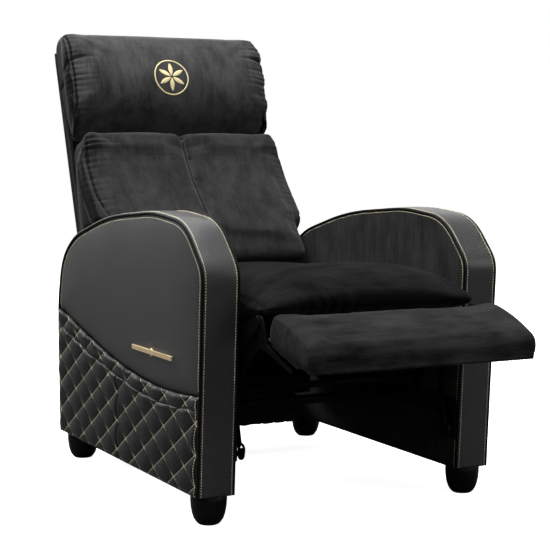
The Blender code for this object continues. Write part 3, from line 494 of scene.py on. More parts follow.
def arm_corners_rounded():
    corners = [on_arm(y, z) for y, z, _ in ARM_CORNERS]
    points = [corners[0]]
    for i in range(1, len(corners) - 1):
        here = corners[i]
        before, after = corners[i - 1] - here, corners[i + 1] - here
        half = before.angle(after) / 2
        reach = min(ARM_CORNERS[i][2] * ARM_LENGTH * cos(half) / sin(half), before.length * 0.48,
                    after.length * 0.48)
        start, end = here + before.normalized() * reach, here + after.normalized() * reach
        points += geometry.interpolate_bezier(start, start.lerp(here, 0.62), end.lerp(here, 0.62), end, 14)
    points.append(corners[-1])
    even = evenly([Vector(p[:2]) for p in points], 0.005)
    for _ in range(11):
        even = [even[0], *((a + b * 2 + c) / 4 for a, b, c in zip(even, even[1:], even[2:])), even[-1]]
    return even


ARM_PATH = arm_corners_rounded()


def arm_line(inset=0.0, step=0.005):
    even = evenly(ARM_PATH, step)
    moved = [p - n * inset for p, n in zip(even, left_normals(even))]
    moved[0].y = moved[-1].y = ARM_BASE
    return moved


print("arm outline", round(sum((b - a).length for a, b in zip(arm_line(), arm_line()[1:])), 3), "m long")

# %% [markdown]
# The band is a strip of leather, drawn over the arm's front, top and rear. A grid of faces is
# laid along the outline: its middle stands a little proud, because there is wadding under it,
# and its edges dip into the seams. Solidify gives it a thickness.

# %% Bands over the arms
BAND_PROUD, BAND_DIP, BAND_EDGE, BAND_WALL = 0.0016, 0.0022, 0.0075, 0.003
arm_middle = (ARM_INNER + ARM_OUTER) / 2
half_band = (ARM_OUTER - ARM_INNER) / 2


def lay_band(word, side):
    path = arm_line()
    outward = left_normals(path)
    bm = bmesh.new()
    bmesh.ops.create_grid(bm, x_segments=22, y_segments=len(path) - 1, size=1)
    places = {}
    for v in bm.verts:
        k = round((v.co.y + 1) / 2 * (len(path) - 1))
        t = sin(v.co.x * pi / 2)
        x = side * arm_middle + t * (half_band - 0.001)
        edge = (1 - abs(t)) * half_band
        rise = BAND_PROUD * (1 - t * t) - BAND_DIP * exp(-(edge / BAND_EDGE) ** 2 * 2.5)
        rise += 0.0007 * noise.noise(Vector((x * 9, path[k].x * 14, path[k].y * 14)))
        point = path[k] + outward[k] * rise
        places[v.index] = (x, k * 0.005)
        v.co = (x, point.x, point.y)
    lay_uv(bm, places)
    face_towards(bm, Vector((0, 0, 1)), lambda face: face.calc_center_median().z > 0.5)
    band = thicken(piece_from(f"arm_band_cover_{word}", bm), BAND_WALL)
    return dress(band, TWILL, "base", [f"arm_band_{word}"])


for arm_word, arm_side in SIDES:
    arm_band = lay_band(arm_word, arm_side)
print("band faces", len(arm_band.data.polygons))

# %% [markdown]
# The flat parts of the arm are panels in the Y-Z plane. A panel starts as one face on its
# boundary. Cuts by planes divide it, and then each point is pushed in or out by how far it
# lies from the panel's edge, as foam under a cover is. The other arm gets the mirror image.

# %% Panels
def flat_panel(boundary, cuts):
    """A face on a boundary in Y and Z, cut by families of planes (normal, offsets)."""
    bm = bmesh.new()
    bm.faces.new([bm.verts.new((0, p.x, p.y)) for p in boundary])
    for normal, offsets in cuts:
        direction = Vector((0, *normal)).normalized()
        for offset in offsets:
            bmesh.ops.bisect_plane(bm, geom=bm.verts[:] + bm.edges[:] + bm.faces[:], dist=0.00001,
                                   plane_co=direction * offset, plane_no=direction)
    bmesh.ops.triangulate(bm, faces=bm.faces)
    return bm


def spaced(low, high, step):
    return [low + step * k for k in range(ceil((high - low) / step))]


def edge_finder(boundary):
    points = evenly([*boundary, boundary[0]], 0.002)
    tree = kdtree.KDTree(len(points))
    for i, p in enumerate(points):
        tree.insert((0, p.x, p.y), i)
    tree.balance()
    return lambda co: tree.find((0, co.y, co.z))[2]


def stand_panel(name, bm, side, reach, thickness):
    """Push each point out to reach(co) from the chair's middle, face it outward and thicken it."""
    for v in bm.verts:
        v.co.x = side * reach(v.co)
    face_towards(bm, Vector((side if thickness > 0 else -side, 0, 0)))
    return thicken(piece_from(name, bm), abs(thickness))


QUILT_EDGE = ((0.024, 0.365), (0.120, 0.352), (0.221, 0.346), (0.354, 0.351), (0.517, 0.381),
              (0.600, 0.402), (0.806, 0.467), (0.995, 0.537))
POCKET_EDGE = ((0.023, 0.319), (0.120, 0.300), (0.221, 0.291), (0.380, 0.302), (0.495, 0.334),
               (0.600, 0.351), (0.741, 0.382), (0.840, 0.421), (0.987, 0.474))


def edge_curve(shares):
    """A smooth line through the points of an edge, as heights over places along the arm."""
    points = [on_arm(*p) for p in shares]
    middle = [points[0]]
    for a, b, c in zip(points, points[1:], points[2:]):
        middle.append((a + b * 2 + c) / 4)
    middle.append(points[-1])
    ys = [p.x for p in middle]
    zs = [p.y for p in middle]
    return lambda y: float(np.interp(y, ys, zs))


quilt_top, pocket_top = edge_curve(QUILT_EDGE), edge_curve(POCKET_EDGE)


def below(line, top, step=0.006):
    """The boundary of the part of an outline under an edge curve."""
    kept = [p for p in line if p.y < top(p.x)]
    front = [p for p in kept if p.x < 0]
    rear = [p for p in kept if p.x > 0]
    a, b = front[-1].x, rear[0].x
    rim = [Vector((y, top(y))) for y in np.linspace(a, b, round((b - a) / step))]
    return front[:-1] + rim + rear[1:]


def above(line, top, step=0.006):
    kept = [p for p in line if p.y > top(p.x)]
    a, b = kept[0].x, kept[-1].x
    rim = [Vector((y, top(y))) for y in np.linspace(b, a, round((b - a) / step))]
    return kept[1:-1] + rim


print("panel edges", round(quilt_top(0), 3), round(pocket_top(0), 3))

# %% [markdown]
# The upper outer side is one smooth pad. Its foam makes it gently convex, and it rolls in
# towards the piping and down behind the quilted panel.

# %% Outer pads
PANEL_INSET = 0.0052
PAD_FACE, PAD_FALL, PAD_ROLL = 0.3655, 0.0085, 0.0020


def outer_pad(word, side):
    boundary = above(arm_line(PANEL_INSET), lambda y: quilt_top(y) - 0.004)
    low_y, high_y = min(p.x for p in boundary), max(p.x for p in boundary)
    cuts = [((1, 0), spaced(low_y, high_y, 0.009)), ((0, 1), spaced(0.2, 0.64, 0.009))]
    near_edge = edge_finder(boundary)

    def reach(co):
        d = near_edge(co)
        soft = noise.noise(Vector((0.3, co.y * 5, co.z * 5)))
        tuck = 0.0075 * exp(-max(0.0, co.z - quilt_top(co.y) + 0.004) / 0.010)
        return PAD_FACE - PAD_ROLL * exp(-d / 0.004) - PAD_FALL * exp(-d / 0.06) - tuck + 0.0006 * soft

    pad = stand_panel(f"arm_side_pad_{word}", flat_panel(boundary, cuts), side, reach, 0.006)
    return dress(pad, SMOOTH, "base", [f"arm_outer_pad_{word}"])


outer_layers = {}
for arm_word, arm_side in SIDES:
    outer_layers[arm_word] = [outer_pad(arm_word, arm_side)]
print("side pad faces", len(outer_layers["right"][0].data.polygons))

# %% [markdown]
# The lower side is quilted in diamonds, 104 mm long and 65 mm high. The lines of the quilting
# are themselves the planes that cut the panel, with more cuts close to each line, so that the
# valleys under the thread stay crisp. The same lattice runs through both layers.

# %% The quilting lattice
LATTICE_Y, LATTICE_Z = 0.104, 0.0655
LATTICE_AT = Vector((ARM_FRONT + 0.540, 0.150))
LATTICE_CUTS = (0, 0.05, 0.12, 0.22, 0.35, 0.5, 0.65, 0.78, 0.88, 0.95)
POCKET_SEAM_Y = ARM_FRONT + 0.427


def lattice(y, z):
    """Both diagonal coordinates of a place, which are whole numbers on the lines."""
    across, up = (y - LATTICE_AT.x) / LATTICE_Y, (z - LATTICE_AT.y) / LATTICE_Z
    return across + up, across - up


def diamond_cuts():
    size = Vector((1 / LATTICE_Y, 1 / LATTICE_Z)).length
    families = [((1, 0), spaced(ARM_FRONT - 0.02, 0.44, 0.026))]
    for sign in (1, -1):
        home = (LATTICE_AT.x / LATTICE_Y + sign * LATTICE_AT.y / LATTICE_Z)
        steps = [(n + s + home) / size for n in range(-9, 9) for s in LATTICE_CUTS]
        families.append(((1 / LATTICE_Y, sign / LATTICE_Z), steps))
    return families


def puff(y, z):
    """How full the quilting is at a place: 0 on a line, 1 in the middle of a diamond."""
    a, b = lattice(y, z)
    return (abs(sin(pi * a)) * abs(sin(pi * b))) ** 0.55


print("diamond", LATTICE_Y, "by", LATTICE_Z)

# %% [markdown]
# Two quilted layers lie on each other. The inner one shows as a strip above the pockets' mouth
# and then runs down behind them. The outer one is open at its top and sewn along its middle,
# which makes two pockets.

# %% Quilted panel and pockets
STRIP_FACE, HIDDEN_FACE, POCKET_FACE = 0.3570, 0.3460, 0.3592
QUILT_PUFF = 0.0074


def quilted_panel(word, side):
    boundary = below(arm_line(PANEL_INSET), quilt_top)
    near_edge = edge_finder(boundary)

    def reach(co):
        d = near_edge(co)
        rim = quilt_top(co.y) - co.z
        over_pocket = co.z - pocket_top(co.y)
        shown = min(1, max(0, 1 + over_pocket / 0.022))
        face = HIDDEN_FACE + (STRIP_FACE - HIDDEN_FACE) * shown
        rise = QUILT_PUFF * shown * puff(co.y, co.z) * min(1, d / 0.008)
        bead = 0.0024 * exp(-((rim - 0.0045) / 0.0035) ** 2)
        return face + rise - 0.0012 * exp(-d / 0.004) * shown - 0.0020 * exp(-rim / 0.0025) + bead

    panel = stand_panel(f"arm_quilt_{word}", flat_panel(boundary, diamond_cuts()), side, reach, 0.0035)
    return dress(panel, QUILTED_PAINTED_SHADE, "base", [f"arm_quilted_panel_{word}"])


def pocket_reach(co, d):
    rim = pocket_top(co.y) - co.z
    seam = 0.0030 * exp(-((co.y - POCKET_SEAM_Y) / 0.004) ** 2)
    rise = QUILT_PUFF * puff(co.y, co.z) * min(1, d / 0.010)
    bead = 0.0022 * exp(-((rim - 0.0045) / 0.0035) ** 2)
    return POCKET_FACE + rise - 0.0012 * exp(-d / 0.004) - seam - 0.0016 * exp(-rim / 0.003) + bead


def pocket(word, side):
    boundary = below(arm_line(PANEL_INSET), pocket_top)
    near_edge = edge_finder([p for p in boundary if p.y < pocket_top(p.x) - 0.001])
    seam_cuts = [POCKET_SEAM_Y + k * 0.0022 for k in range(-3, 4)]
    cuts = [((1, 0), seam_cuts), *diamond_cuts()]
    layer = stand_panel(f"arm_pocket_layer_{word}", flat_panel(boundary, cuts), side,
                        lambda co: pocket_reach(co, near_edge(co)), 0.0035)
    return dress(layer, QUILTED_PAINTED_SHADE, "base", [f"arm_pocket_{word}"])


for arm_word, arm_side in SIDES:
    outer_layers[arm_word] += [quilted_panel(arm_word, arm_side), pocket(arm_word, arm_side)]
print("quilted faces", [len(layer.data.polygons) for layer in outer_layers["right"][1:]])

# %% [markdown]
# Inside, each arm has a velvet cover, flat because the seat slides past it, with its edges
# rolled into the piping. A lining closes the arm underneath, between the feet.

# %% Inner covers and linings
CLOTH_THICK = 0.0008


def inner_cover(word, side):
    boundary = arm_line(PANEL_INSET)
    near_edge = edge_finder(boundary)
    cuts = [((1, 0), spaced(ARM_FRONT, 0.42, 0.010)), ((0, 1), spaced(0.07, 0.64, 0.010))]

    def reach(co):
        d = near_edge(co)
        soft = noise.noise(Vector((side * 3, co.y * 8, co.z * 8)))
        return ARM_INNER + 0.0006 + 0.0020 * exp(-d / 0.004) - 0.0005 * soft * min(1, d / 0.03)

    cover = stand_panel(f"arm_inner_velvet_{word}", flat_panel(boundary, cuts), side, reach, -0.004)
    return dress(cover, VELVET_UPRIGHT, "base", [f"arm_inner_cover_{word}"])


def arm_lining(word, side):
    line = arm_line(0.004)
    bm = bmesh.new()
    bmesh.ops.create_grid(bm, x_segments=8, y_segments=40, size=0.5)
    front, rear = line[0].x, line[-1].x
    for v in bm.verts:
        sag = 0.0008 * noise.noise(v.co * 9)
        v.co = (side * arm_middle + v.co.x * (ARM_OUTER - ARM_INNER - 0.008),
                front + (v.co.y + 0.5) * (rear - front), ARM_BASE + 0.0006 + abs(sag))
    cloth = thicken(piece_from(f"arm_lining_{word}", bm), CLOTH_THICK, 1)
    return dress(cloth, LINING, "base")


inner_layers = {}
for arm_word, arm_side in SIDES:
    inner_layers[arm_word] = [inner_cover(arm_word, arm_side)]
    arm_lining(arm_word, arm_side)
print("inner cover faces", len(inner_layers["right"][0].data.polygons))

# %% [markdown]
# Piping runs along both edges of each arm, where band and panel meet. It is a curve with a
# round bevel, turned into a mesh. Stitches are made in the same way, as short curves that
# rise out of the leather and dip back, so that thousands of them stay light.

# %% Piping and stitches
def rod(name, paths, radius, sides=2):
    """Tubes along paths of points, as one mesh."""
    curve = bpy.data.curves.new(name, "CURVE")
    curve.dimensions = "3D"
    curve.bevel_depth = radius
    curve.bevel_resolution = sides
    curve.use_fill_caps = True
    for path in paths:
        spline = curve.splines.new("POLY")
        spline.points.add(len(path) - 1)
        for point, place in zip(spline.points, path):
            point.co = (*place, 1)
    helper = placed(name, curve)
    data = bpy.data.meshes.new_from_object(helper.evaluated_get(bpy.context.evaluated_depsgraph_get()))
    bpy.data.objects.remove(helper)
    data.shade_smooth()
    return placed(name, data)


def skin(pieces):
    """The faces of some pieces, ready to be touched by a ray."""
    points = []
    faces = []
    for piece in pieces:
        first = len(points)
        points += [v.co.copy() for v in piece.data.vertices]
        faces += [[first + i for i in f.vertices] for f in piece.data.polygons]
    return BVHTree.FromPolygons(points, faces)


def lay_on(tree, row, way, lift=0.0002):
    """Each place of a row, moved along a direction until it meets the skin."""
    laid = []
    for place in row:
        hit = tree.ray_cast(place - way * 0.2, way)[0]
        laid.append((hit if hit else place) - way * lift)
    return laid


STITCH_LENGTH, STITCH_GAP, THREAD_RADIUS = 0.0036, 0.0023, 0.00075


def stitches(row, lifts, length=STITCH_LENGTH, gap=STITCH_GAP, radius=THREAD_RADIUS):
    """Short paths along a row of points, each with its own way out of the surface."""
    total = [0.0]
    for a, b in zip(row, row[1:]):
        total.append(total[-1] + (b - a).length)

    def at(s, height):
        k = min(max(int(np.searchsorted(total, s)) - 1, 0), len(row) - 2)
        share = (s - total[k]) / max(total[k + 1] - total[k], 1e-9)
        return row[k].lerp(row[k + 1], share) + lifts[k].lerp(lifts[k + 1], share) * height

    paths = []
    s = gap
    while s + length < total[-1]:
        paths.append([at(s, -radius * 0.7), at(s + length * 0.3, radius * 0.45),
                      at(s + length * 0.7, radius * 0.45), at(s + length, -radius * 0.7)])
        s += length + gap
    return paths


PIPING_RADIUS, SEAM_AWAY, PAD_SEAM_AWAY = 0.0036, 0.0086, 0.0128
outer_skins = {word: skin(layers) for word, layers in outer_layers.items()}
inner_skins = {word: skin(layers) for word, layers in inner_layers.items()}


def edge_trim(word, side):
    """Piping and two rows of stitches along the outer and the inner edge of one arm."""
    rows = []
    tubes = []
    for x, inward, tree, away in ((ARM_OUTER, -1, outer_skins[word], PAD_SEAM_AWAY),
                                  (ARM_INNER, 1, inner_skins[word], SEAM_AWAY)):
        corner = arm_line(PIPING_RADIUS - 0.0006)
        tubes.append([Vector((side * (x + inward * (PIPING_RADIUS - 0.0006)), p.x, p.y)) for p in corner])
        out = Vector((-inward * side, 0, 0))
        panel_row = [Vector((side * x, p.x, p.y)) for p in arm_line(away)]
        rows += stitches(lay_on(tree, panel_row, -out), [out] * len(panel_row))
        top = arm_line(-0.0001)
        ways = left_normals(top)
        dip = BAND_DIP * exp(-(SEAM_AWAY / BAND_EDGE) ** 2 * 2.5)
        band_row = [Vector((side * (x + inward * SEAM_AWAY), *(p - n * (dip - 0.0004))))
                    for p, n in zip(top, ways)]
        rows += stitches(band_row, [Vector((0, *n)) for n in ways])
    piping = rod(f"arm_piping_{word}", tubes, PIPING_RADIUS, 3)
    dress(piping, PIPING, "base")
    thread = rod(f"arm_edge_stitching_{word}", rows, THREAD_RADIUS, 0)
    return dress(thread, GOLD_THREAD, "base")


for arm_word, arm_side in SIDES:
    edge_thread = edge_trim(arm_word, arm_side)
print("edge stitching faces", len(edge_thread.data.polygons))

# %% [markdown]
# The quilting's thread follows the lattice's lines. Each line is walked from end to end, and
# the parts that lie on the strip or on the pocket become rows of stitches on that layer.

# %% Stitches of the quilting
def lattice_lines(step=0.004):
    """All lines of the lattice, as rows of places in Y and Z."""
    lines = []
    for n in range(-12, 13):
        for sign in (1, -1):
            row = []
            for y in np.arange(ARM_FRONT - 0.01, ARM_FRONT + ARM_LENGTH + 0.01, step):
                across = (y - LATTICE_AT.x) / LATTICE_Y
                row.append(Vector((y, LATTICE_AT.y + sign * (n - across) * LATTICE_Z)))
            lines.append(row)
    return lines


def split_runs(row, keep):
    runs = []
    current = []
    for p in row:
        if keep(p):
            current.append(p)
        elif current:
            runs.append(current)
            current = []
    if current:
        runs.append(current)
    return [r for r in runs if len(r) > 2]


arm_ends = arm_line(0.0075, 0.02)
front_ends = [p for p in arm_ends if p.x < 0 and p.y < 0.45]
rear_ends = [p for p in arm_ends if p.x > 0 and p.y < 0.45][::-1]
front_y = lambda z: float(np.interp(z, [p.y for p in front_ends], [p.x for p in front_ends]))
rear_y = lambda z: float(np.interp(z, [p.y for p in rear_ends], [p.x for p in rear_ends]))


def within(p):
    return front_y(p.y) < p.x < rear_y(p.y) and p.y > ARM_BASE + 0.001


QUILT_STITCH, QUILT_GAP = 0.0031, 0.0016
LAYERS = ((lambda y: 0, lambda y: pocket_top(y) - 0.001),
          (lambda y: pocket_top(y) + 0.0005, quilt_top))
quilt_rows = []
for line in lattice_lines():
    for lower, upper in LAYERS:
        for run in split_runs(line, lambda p: within(p) and lower(p.x) < p.y < upper(p.x)):
            quilt_rows.append([Vector((ARM_OUTER, p.x, p.y)) for p in run])
for arm_word, arm_side in SIDES:
    out = Vector((arm_side, 0, 0))
    paths = []
    for row in quilt_rows:
        turned_row = [Vector((arm_side * p.x, p.y, p.z)) for p in row]
        laid = lay_on(outer_skins[arm_word], turned_row, -out)
        paths += stitches(laid, [out] * len(row), QUILT_STITCH, QUILT_GAP)
    thread = rod(f"arm_quilt_stitching_{arm_word}", paths, THREAD_RADIUS, 0)
    dress(thread, GOLD_THREAD, "base")
print("quilting stitches", len(paths))

# %% [markdown]
# The feet are turned bullets of black plastic: a profile, spun once round, with a small flat
# underneath and a soft shoulder.

# %% Feet
FOOT_PROFILE = ((0.0000, 0.0617), (0.0370, 0.0617), (0.0380, 0.0608), (0.0379, 0.0500), (0.0369, 0.0370),
                (0.0347, 0.0240), (0.0309, 0.0125), (0.0262, 0.0052), (0.0222, 0.0012), (0.0200, 0.0000),
                (0.0000, 0.0000))


def turned_foot(name, x, y):
    bm = bmesh.new()
    line = [bm.verts.new((r, 0, z)) for r, z in FOOT_PROFILE]
    edges = [bm.edges.new(pair) for pair in zip(line, line[1:])]
    bmesh.ops.spin(bm, geom=line + edges, cent=(0, 0, 0), axis=(0, 0, 1), angle=2 * pi, steps=56,
                   use_merge=True)
    bmesh.ops.remove_doubles(bm, verts=bm.verts, dist=0.00005)
    bmesh.ops.recalc_face_normals(bm, faces=bm.faces)
    bmesh.ops.translate(bm, verts=bm.verts, vec=(x, y, 0))
    foot = piece_from(f"{name}_turned", bm)
    foot.data.set_sharp_from_angle(angle=radians(50))
    return dress(foot, FOOT_PLASTIC, "base", [name])


for arm_word, arm_side in SIDES:
    for foot_place, foot_y in (("front", 0.043), ("rear", 0.760)):
        last_foot = turned_foot(f"foot_{foot_place}_{arm_word}", arm_side * arm_middle, ARM_FRONT + foot_y)
print("foot faces", len(last_foot.data.polygons))

# %% [markdown]
# The four cushions are foam in a velvet cover. Each starts as its CAD solid, gets even small
# faces from a voxel remesh, is drawn in a little, and is then blown up by the cloth
# simulation's pressure, so that it crowns between its edges. The points that rest on the frame
# are held, and no point may move further than a cap.

# %% Cushions from the cloth simulation
def read_points(mesh):
    flat = np.zeros(len(mesh.vertices) * 3)
    mesh.vertices.foreach_get("co", flat)
    return flat.reshape(-1, 3)


def write_points(mesh, points):
    mesh.vertices.foreach_set("co", points.ravel())
    mesh.update()


def read_normals(mesh):
    flat = np.zeros(len(mesh.vertices) * 3)
    mesh.vertex_normals.foreach_get("vector", flat)
    return flat.reshape(-1, 3)


def soften(mesh, times):
    bm = bmesh.new()
    bm.from_mesh(mesh)
    for _ in range(times):
        bmesh.ops.smooth_vert(bm, verts=bm.verts, factor=0.5, use_axis_x=True, use_axis_y=True,
                              use_axis_z=True)
    bm.to_mesh(mesh)
    bm.free()


def even_copy(node, name, voxel):
    bm = bmesh.new()
    bm.from_mesh(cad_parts[node].data)
    bmesh.ops.remove_doubles(bm, verts=bm.verts, dist=0.00005)
    bmesh.ops.recalc_face_normals(bm, faces=bm.faces)
    piece = piece_from(name, bm)
    remesh = piece.modifiers.new("even faces", "REMESH")
    remesh.mode = "VOXEL"
    remesh.voxel_size = voxel
    return apply_modifiers(piece)


CLOTH_FRAMES = 16


def cushion(node, name, voxel, draw_in, cap, held, pressure=4.0):
    """An even copy of a CAD cushion, blown up by the cloth simulation except where it is held."""
    piece = even_copy(node, name, voxel)
    mesh = piece.data
    soften(mesh, 1)
    rest = read_points(mesh)
    fixed = np.array([bool(held(Vector(p))) for p in rest])
    write_points(mesh, rest - read_normals(mesh) * (draw_in * ~fixed)[:, None])
    group = piece.vertex_groups.new(name="held")
    group.add([int(i) for i in np.flatnonzero(fixed)], 1.0, "REPLACE")
    cloth = piece.modifiers.new("cover", "CLOTH")
    cloth.settings.quality = 4
    cloth.settings.use_pressure = True
    cloth.settings.uniform_pressure_force = pressure
    cloth.settings.effector_weights.gravity = 0
    cloth.settings.vertex_group_mass = "held"
    for moment in range(1, CLOTH_FRAMES + 1):
        scene.frame_set(moment)
    blown = read_points(piece.evaluated_get(bpy.context.evaluated_depsgraph_get()).data)
    moved = blown - rest
    far = np.linalg.norm(moved, axis=1, keepdims=True)
    rest = rest + moved * np.minimum(1, cap / np.maximum(far, 1e-9))
    piece.modifiers.clear()
    scene.frame_set(1)
    mean, most = (round(float(value) * 1000, 1) for value in (far.mean(), far.max()))
    print(name, "moved", mean, "mm, at most", most)
    write_points(mesh, rest)
    soften(mesh, 2)
    finer = piece.modifiers.new("finer", "SUBSURF")
    finer.levels = finer.render_levels = 1
    apply_modifiers(piece)
    piece.data.shade_smooth()
    return piece


def smooth(value):
    """0 below 0, 1 above 1, and an even slope between."""
    t = min(1.0, max(0.0, value))
    return t * t * (3 - 2 * t)


def reshape(piece, change):
    """Move each point to change(point)."""
    points = read_points(piece.data)
    write_points(piece.data, np.array([change(Vector(p)) for p in points]))


def refine(piece, wanted):
    """Halve the faces where wanted(point) holds, so that fine folds find enough points."""
    bm = bmesh.new()
    bm.from_mesh(piece.data)
    edges = [e for e in bm.edges if wanted(e.verts[0].co) and wanted(e.verts[1].co)]
    bmesh.ops.subdivide_edges(bm, edges=edges, cuts=1, use_grid_fill=True)
    bm.to_mesh(piece.data)
    bm.free()
    piece.data.shade_smooth()


def mould(piece, change):
    """Move each point along its normal by change(place, normal)."""
    points = read_points(piece.data)
    normals = read_normals(piece.data)
    moves = np.array([change(Vector(p), Vector(n)) for p, n in zip(points, normals)])
    write_points(piece.data, points + normals * moves[:, None])
    return piece


def crease(along, seed, away, reach, depth, pitch=0.020):
    """Gathers beside a seam: narrow valleys across it that fade with the distance from it."""
    slant = 0.5 * noise.noise(Vector((along / pitch * 0.4, seed + 9, 0)))
    wander = noise.noise(Vector(((along + slant * away) / pitch, seed, away * 9)))
    length = reach * (0.4 + 1.4 * abs(noise.noise(Vector((along / pitch * 0.7, seed + 5, 0)))))
    strong = 0.5 + abs(noise.noise(Vector((along / pitch * 0.3, seed + 3, 0))))
    return -depth * strong * exp(-(wander / 0.20) ** 2) * exp(-max(0.0, away) / length)


def gather(along, seed, away, reach, depth, pitch):
    """Rounded folds side by side, each of its own length, that run out from a seam."""
    count = along / pitch + 0.5 * noise.noise(Vector((along / pitch * 0.45, seed, 0)))
    own = noise.noise(Vector((int(count + 100) * 3.7, seed + 4, 0)))
    valley = (0.5 - 0.5 * cos(2 * pi * count)) ** 1.6
    faded = exp(-max(0.0, away) / (reach * (1 + 1.2 * max(own, -0.6))))
    return -depth * (0.55 + 0.9 * max(own, -0.5)) * valley * faded


def groove(away, depth, width):
    return -depth * exp(-(away / width) ** 2)


def drawn_in(side, half, edge):
    """How far a CAD cushion's section is drawn in near its ends, where its edge is rounded."""
    a = min(0.995, max(0.0, side - half + edge) / edge)
    return edge * (1 - (1 - a * a) ** 0.5)


def velvet_sides(piece):
    """The faces beyond the side seams wear the side panels' velvet, which is painted darker, as shade."""
    piece.data.materials.append(VELVET_SIDE_PAINTED_SHADE)
    for face in piece.data.polygons:
        if abs(face.center.x) > SIDE_SEAM - 0.012 and abs(face.normal.x) > 0.6:
            face.material_index = 1


print("cloth is", "simulated")

# %% [markdown]
# The back and the head roll are described in the back's own frame: from the recline hinge, up
# the back and out to the rear. Their foam swells a little over the arms and stays full up to
# the side seams. The back cushion has a stitched seam down its middle, which opens into a small
# notch at the top, and both have gathered seams along the sides.

# %% The back cushion
HINGE = Vector((0, 0.340, 0.385))
UP_BACK = Vector((0, sin(BACK_TILT), cos(BACK_TILT)))
TO_REAR = Vector((0, cos(BACK_TILT), -sin(BACK_TILT)))
FRAME_FRONT = 0.0783
SIDE_SEAM, LOW_SEAM = 0.2745, 0.256
CUSHION_HALF = 0.270


def in_back(p):
    offset = p - HINGE
    return offset.dot(TO_REAR), offset.dot(UP_BACK)


def from_back(x, rear, up):
    return HINGE + Vector((x, 0, 0)) + TO_REAR * rear + UP_BACK * up


BACK_DEPTHS = ((0.066, 0.174), (0.09, 0.202), (0.17, 0.170), (0.22, 0.147), (0.31, 0.110), (0.385, 0.088),
               (0.424, 0.066), (0.432, 0.028))
FULLER_TOP = ((0.355, 0.0), (0.37, 0.002), (0.378, 0.005), (0.385, 0.0095), (0.40, 0.022), (0.412, 0.030),
              (0.424, 0.040), (0.436, 0.046))
BULGE, TAPER = 0.0155, 0.0125
BETWEEN_ARMS = 0.2712


def widened(x, rear, high, fuller):
    """The cushions' sides stand out over the frame in front and meet it at the rear."""
    behind = smooth(rear / FRAME_FRONT)
    return x * (1 + (BULGE - TAPER * behind + fuller * (1 - behind)) * high / CUSHION_HALF)


MOST_UPRIGHT = BACK_TILT - radians(8)
ARM_TOP = [(p.x, p.y) for p in ARM_PATH if p.y > 0.3] + [(0.43, 0.0)]


def room_above_arms(rear, up):
    """How far a point of the back stays above the arms with the back at its most upright."""
    y = HINGE.y + rear * cos(MOST_UPRIGHT) + up * sin(MOST_UPRIGHT)
    z = HINGE.z - rear * sin(MOST_UPRIGHT) + up * cos(MOST_UPRIGHT)
    return z - float(np.interp(y, *zip(*ARM_TOP)))


def back_form(p):
    rear, up = in_back(p)
    side = abs(p.x)
    clear = smooth((room_above_arms(rear, up) - 0.006) / 0.024)
    drawn = 0.95 * drawn_in(side, CUSHION_HALF, 0.026) * (0.7 + 0.3 * clear)
    depth = float(np.interp(up, *zip(*BACK_DEPTHS)))
    full = 0.008 * smooth((side - 0.15) / 0.08) * smooth((0.05 - rear) / 0.05)
    forward = drawn * min(1.0, max(0.0, FRAME_FRONT - rear) / (depth * 0.6)) + full
    top = max(0.0, up - 0.38) * 0.20 * smooth((0.078 - rear) / 0.04)
    top += 0.5 * drawn * smooth((up - 0.38) / 0.04)
    low = 0.014 * smooth((0.13 - up) / 0.05) * smooth((0.03 - rear) / 0.05)
    height = min(up + top, 0.436)
    forward += float(np.interp(height, *zip(*FULLER_TOP))) * smooth((0.080 - rear) / 0.04)
    height += 0.004 * smooth((height - 0.40) / 0.03) * (1 + 1.5 * smooth((0.035 - rear + forward) / 0.03))
    wide = 1 - 0.030 * smooth((height - 0.395) / 0.045)
    fuller = 0.011 * smooth((0.43 - height) / 0.08)
    high = smooth((room_above_arms(rear - forward, height - low) - 0.006) / 0.048)
    x = widened(p.x, rear, high, fuller) * wide
    most = BETWEEN_ARMS + 0.040 * high
    return from_back(max(-most, min(most, x)), rear - forward, height - low)


def seam_sway(up):
    """The middle seam wanders a little to both sides on its way up."""
    return 0.004 * sin(up * 14)


def back_folds(p, n):
    rear, up = in_back(p)
    side = abs(p.x)
    facing = max(0.0, -n.dot(TO_REAR))
    seam = LOW_SEAM + (SIDE_SEAM - LOW_SEAM) * smooth((up - 0.17) / 0.10)
    top = max(0.0, (up - 0.385) / 0.05)
    sway = seam_sway(up)
    move = groove(p.x - sway, 0.0040 + 0.008 * top, 0.0036 + 0.008 * top ** 2) * min(1, facing * 2)
    if rear < FRAME_FRONT - 0.012:
        near = 0.35 if p.x > 0 else 1.0
        move += groove(side - seam, 0.0042 * near, 0.0040)
        seed = 3.0 if p.x > 0 else 11.0
        strong = (1 + 0.9 * smooth((up - 0.33) / 0.08)) * near
        if side < seam:
            move += gather(up, seed, seam - side, 0.022, 0.0044 * strong, 0.0165) * min(1, facing * 1.6)
        else:
            move += gather(up, seed, side - seam, 0.020, 0.0022 * near, 0.0165)
    move += gather(up, 20, abs(p.x - sway), 0.010, 0.0009, 0.022) * facing
    move += 0.0022 * noise.noise(Vector((p.x * 7, up * 9, 2.0))) * facing
    return move


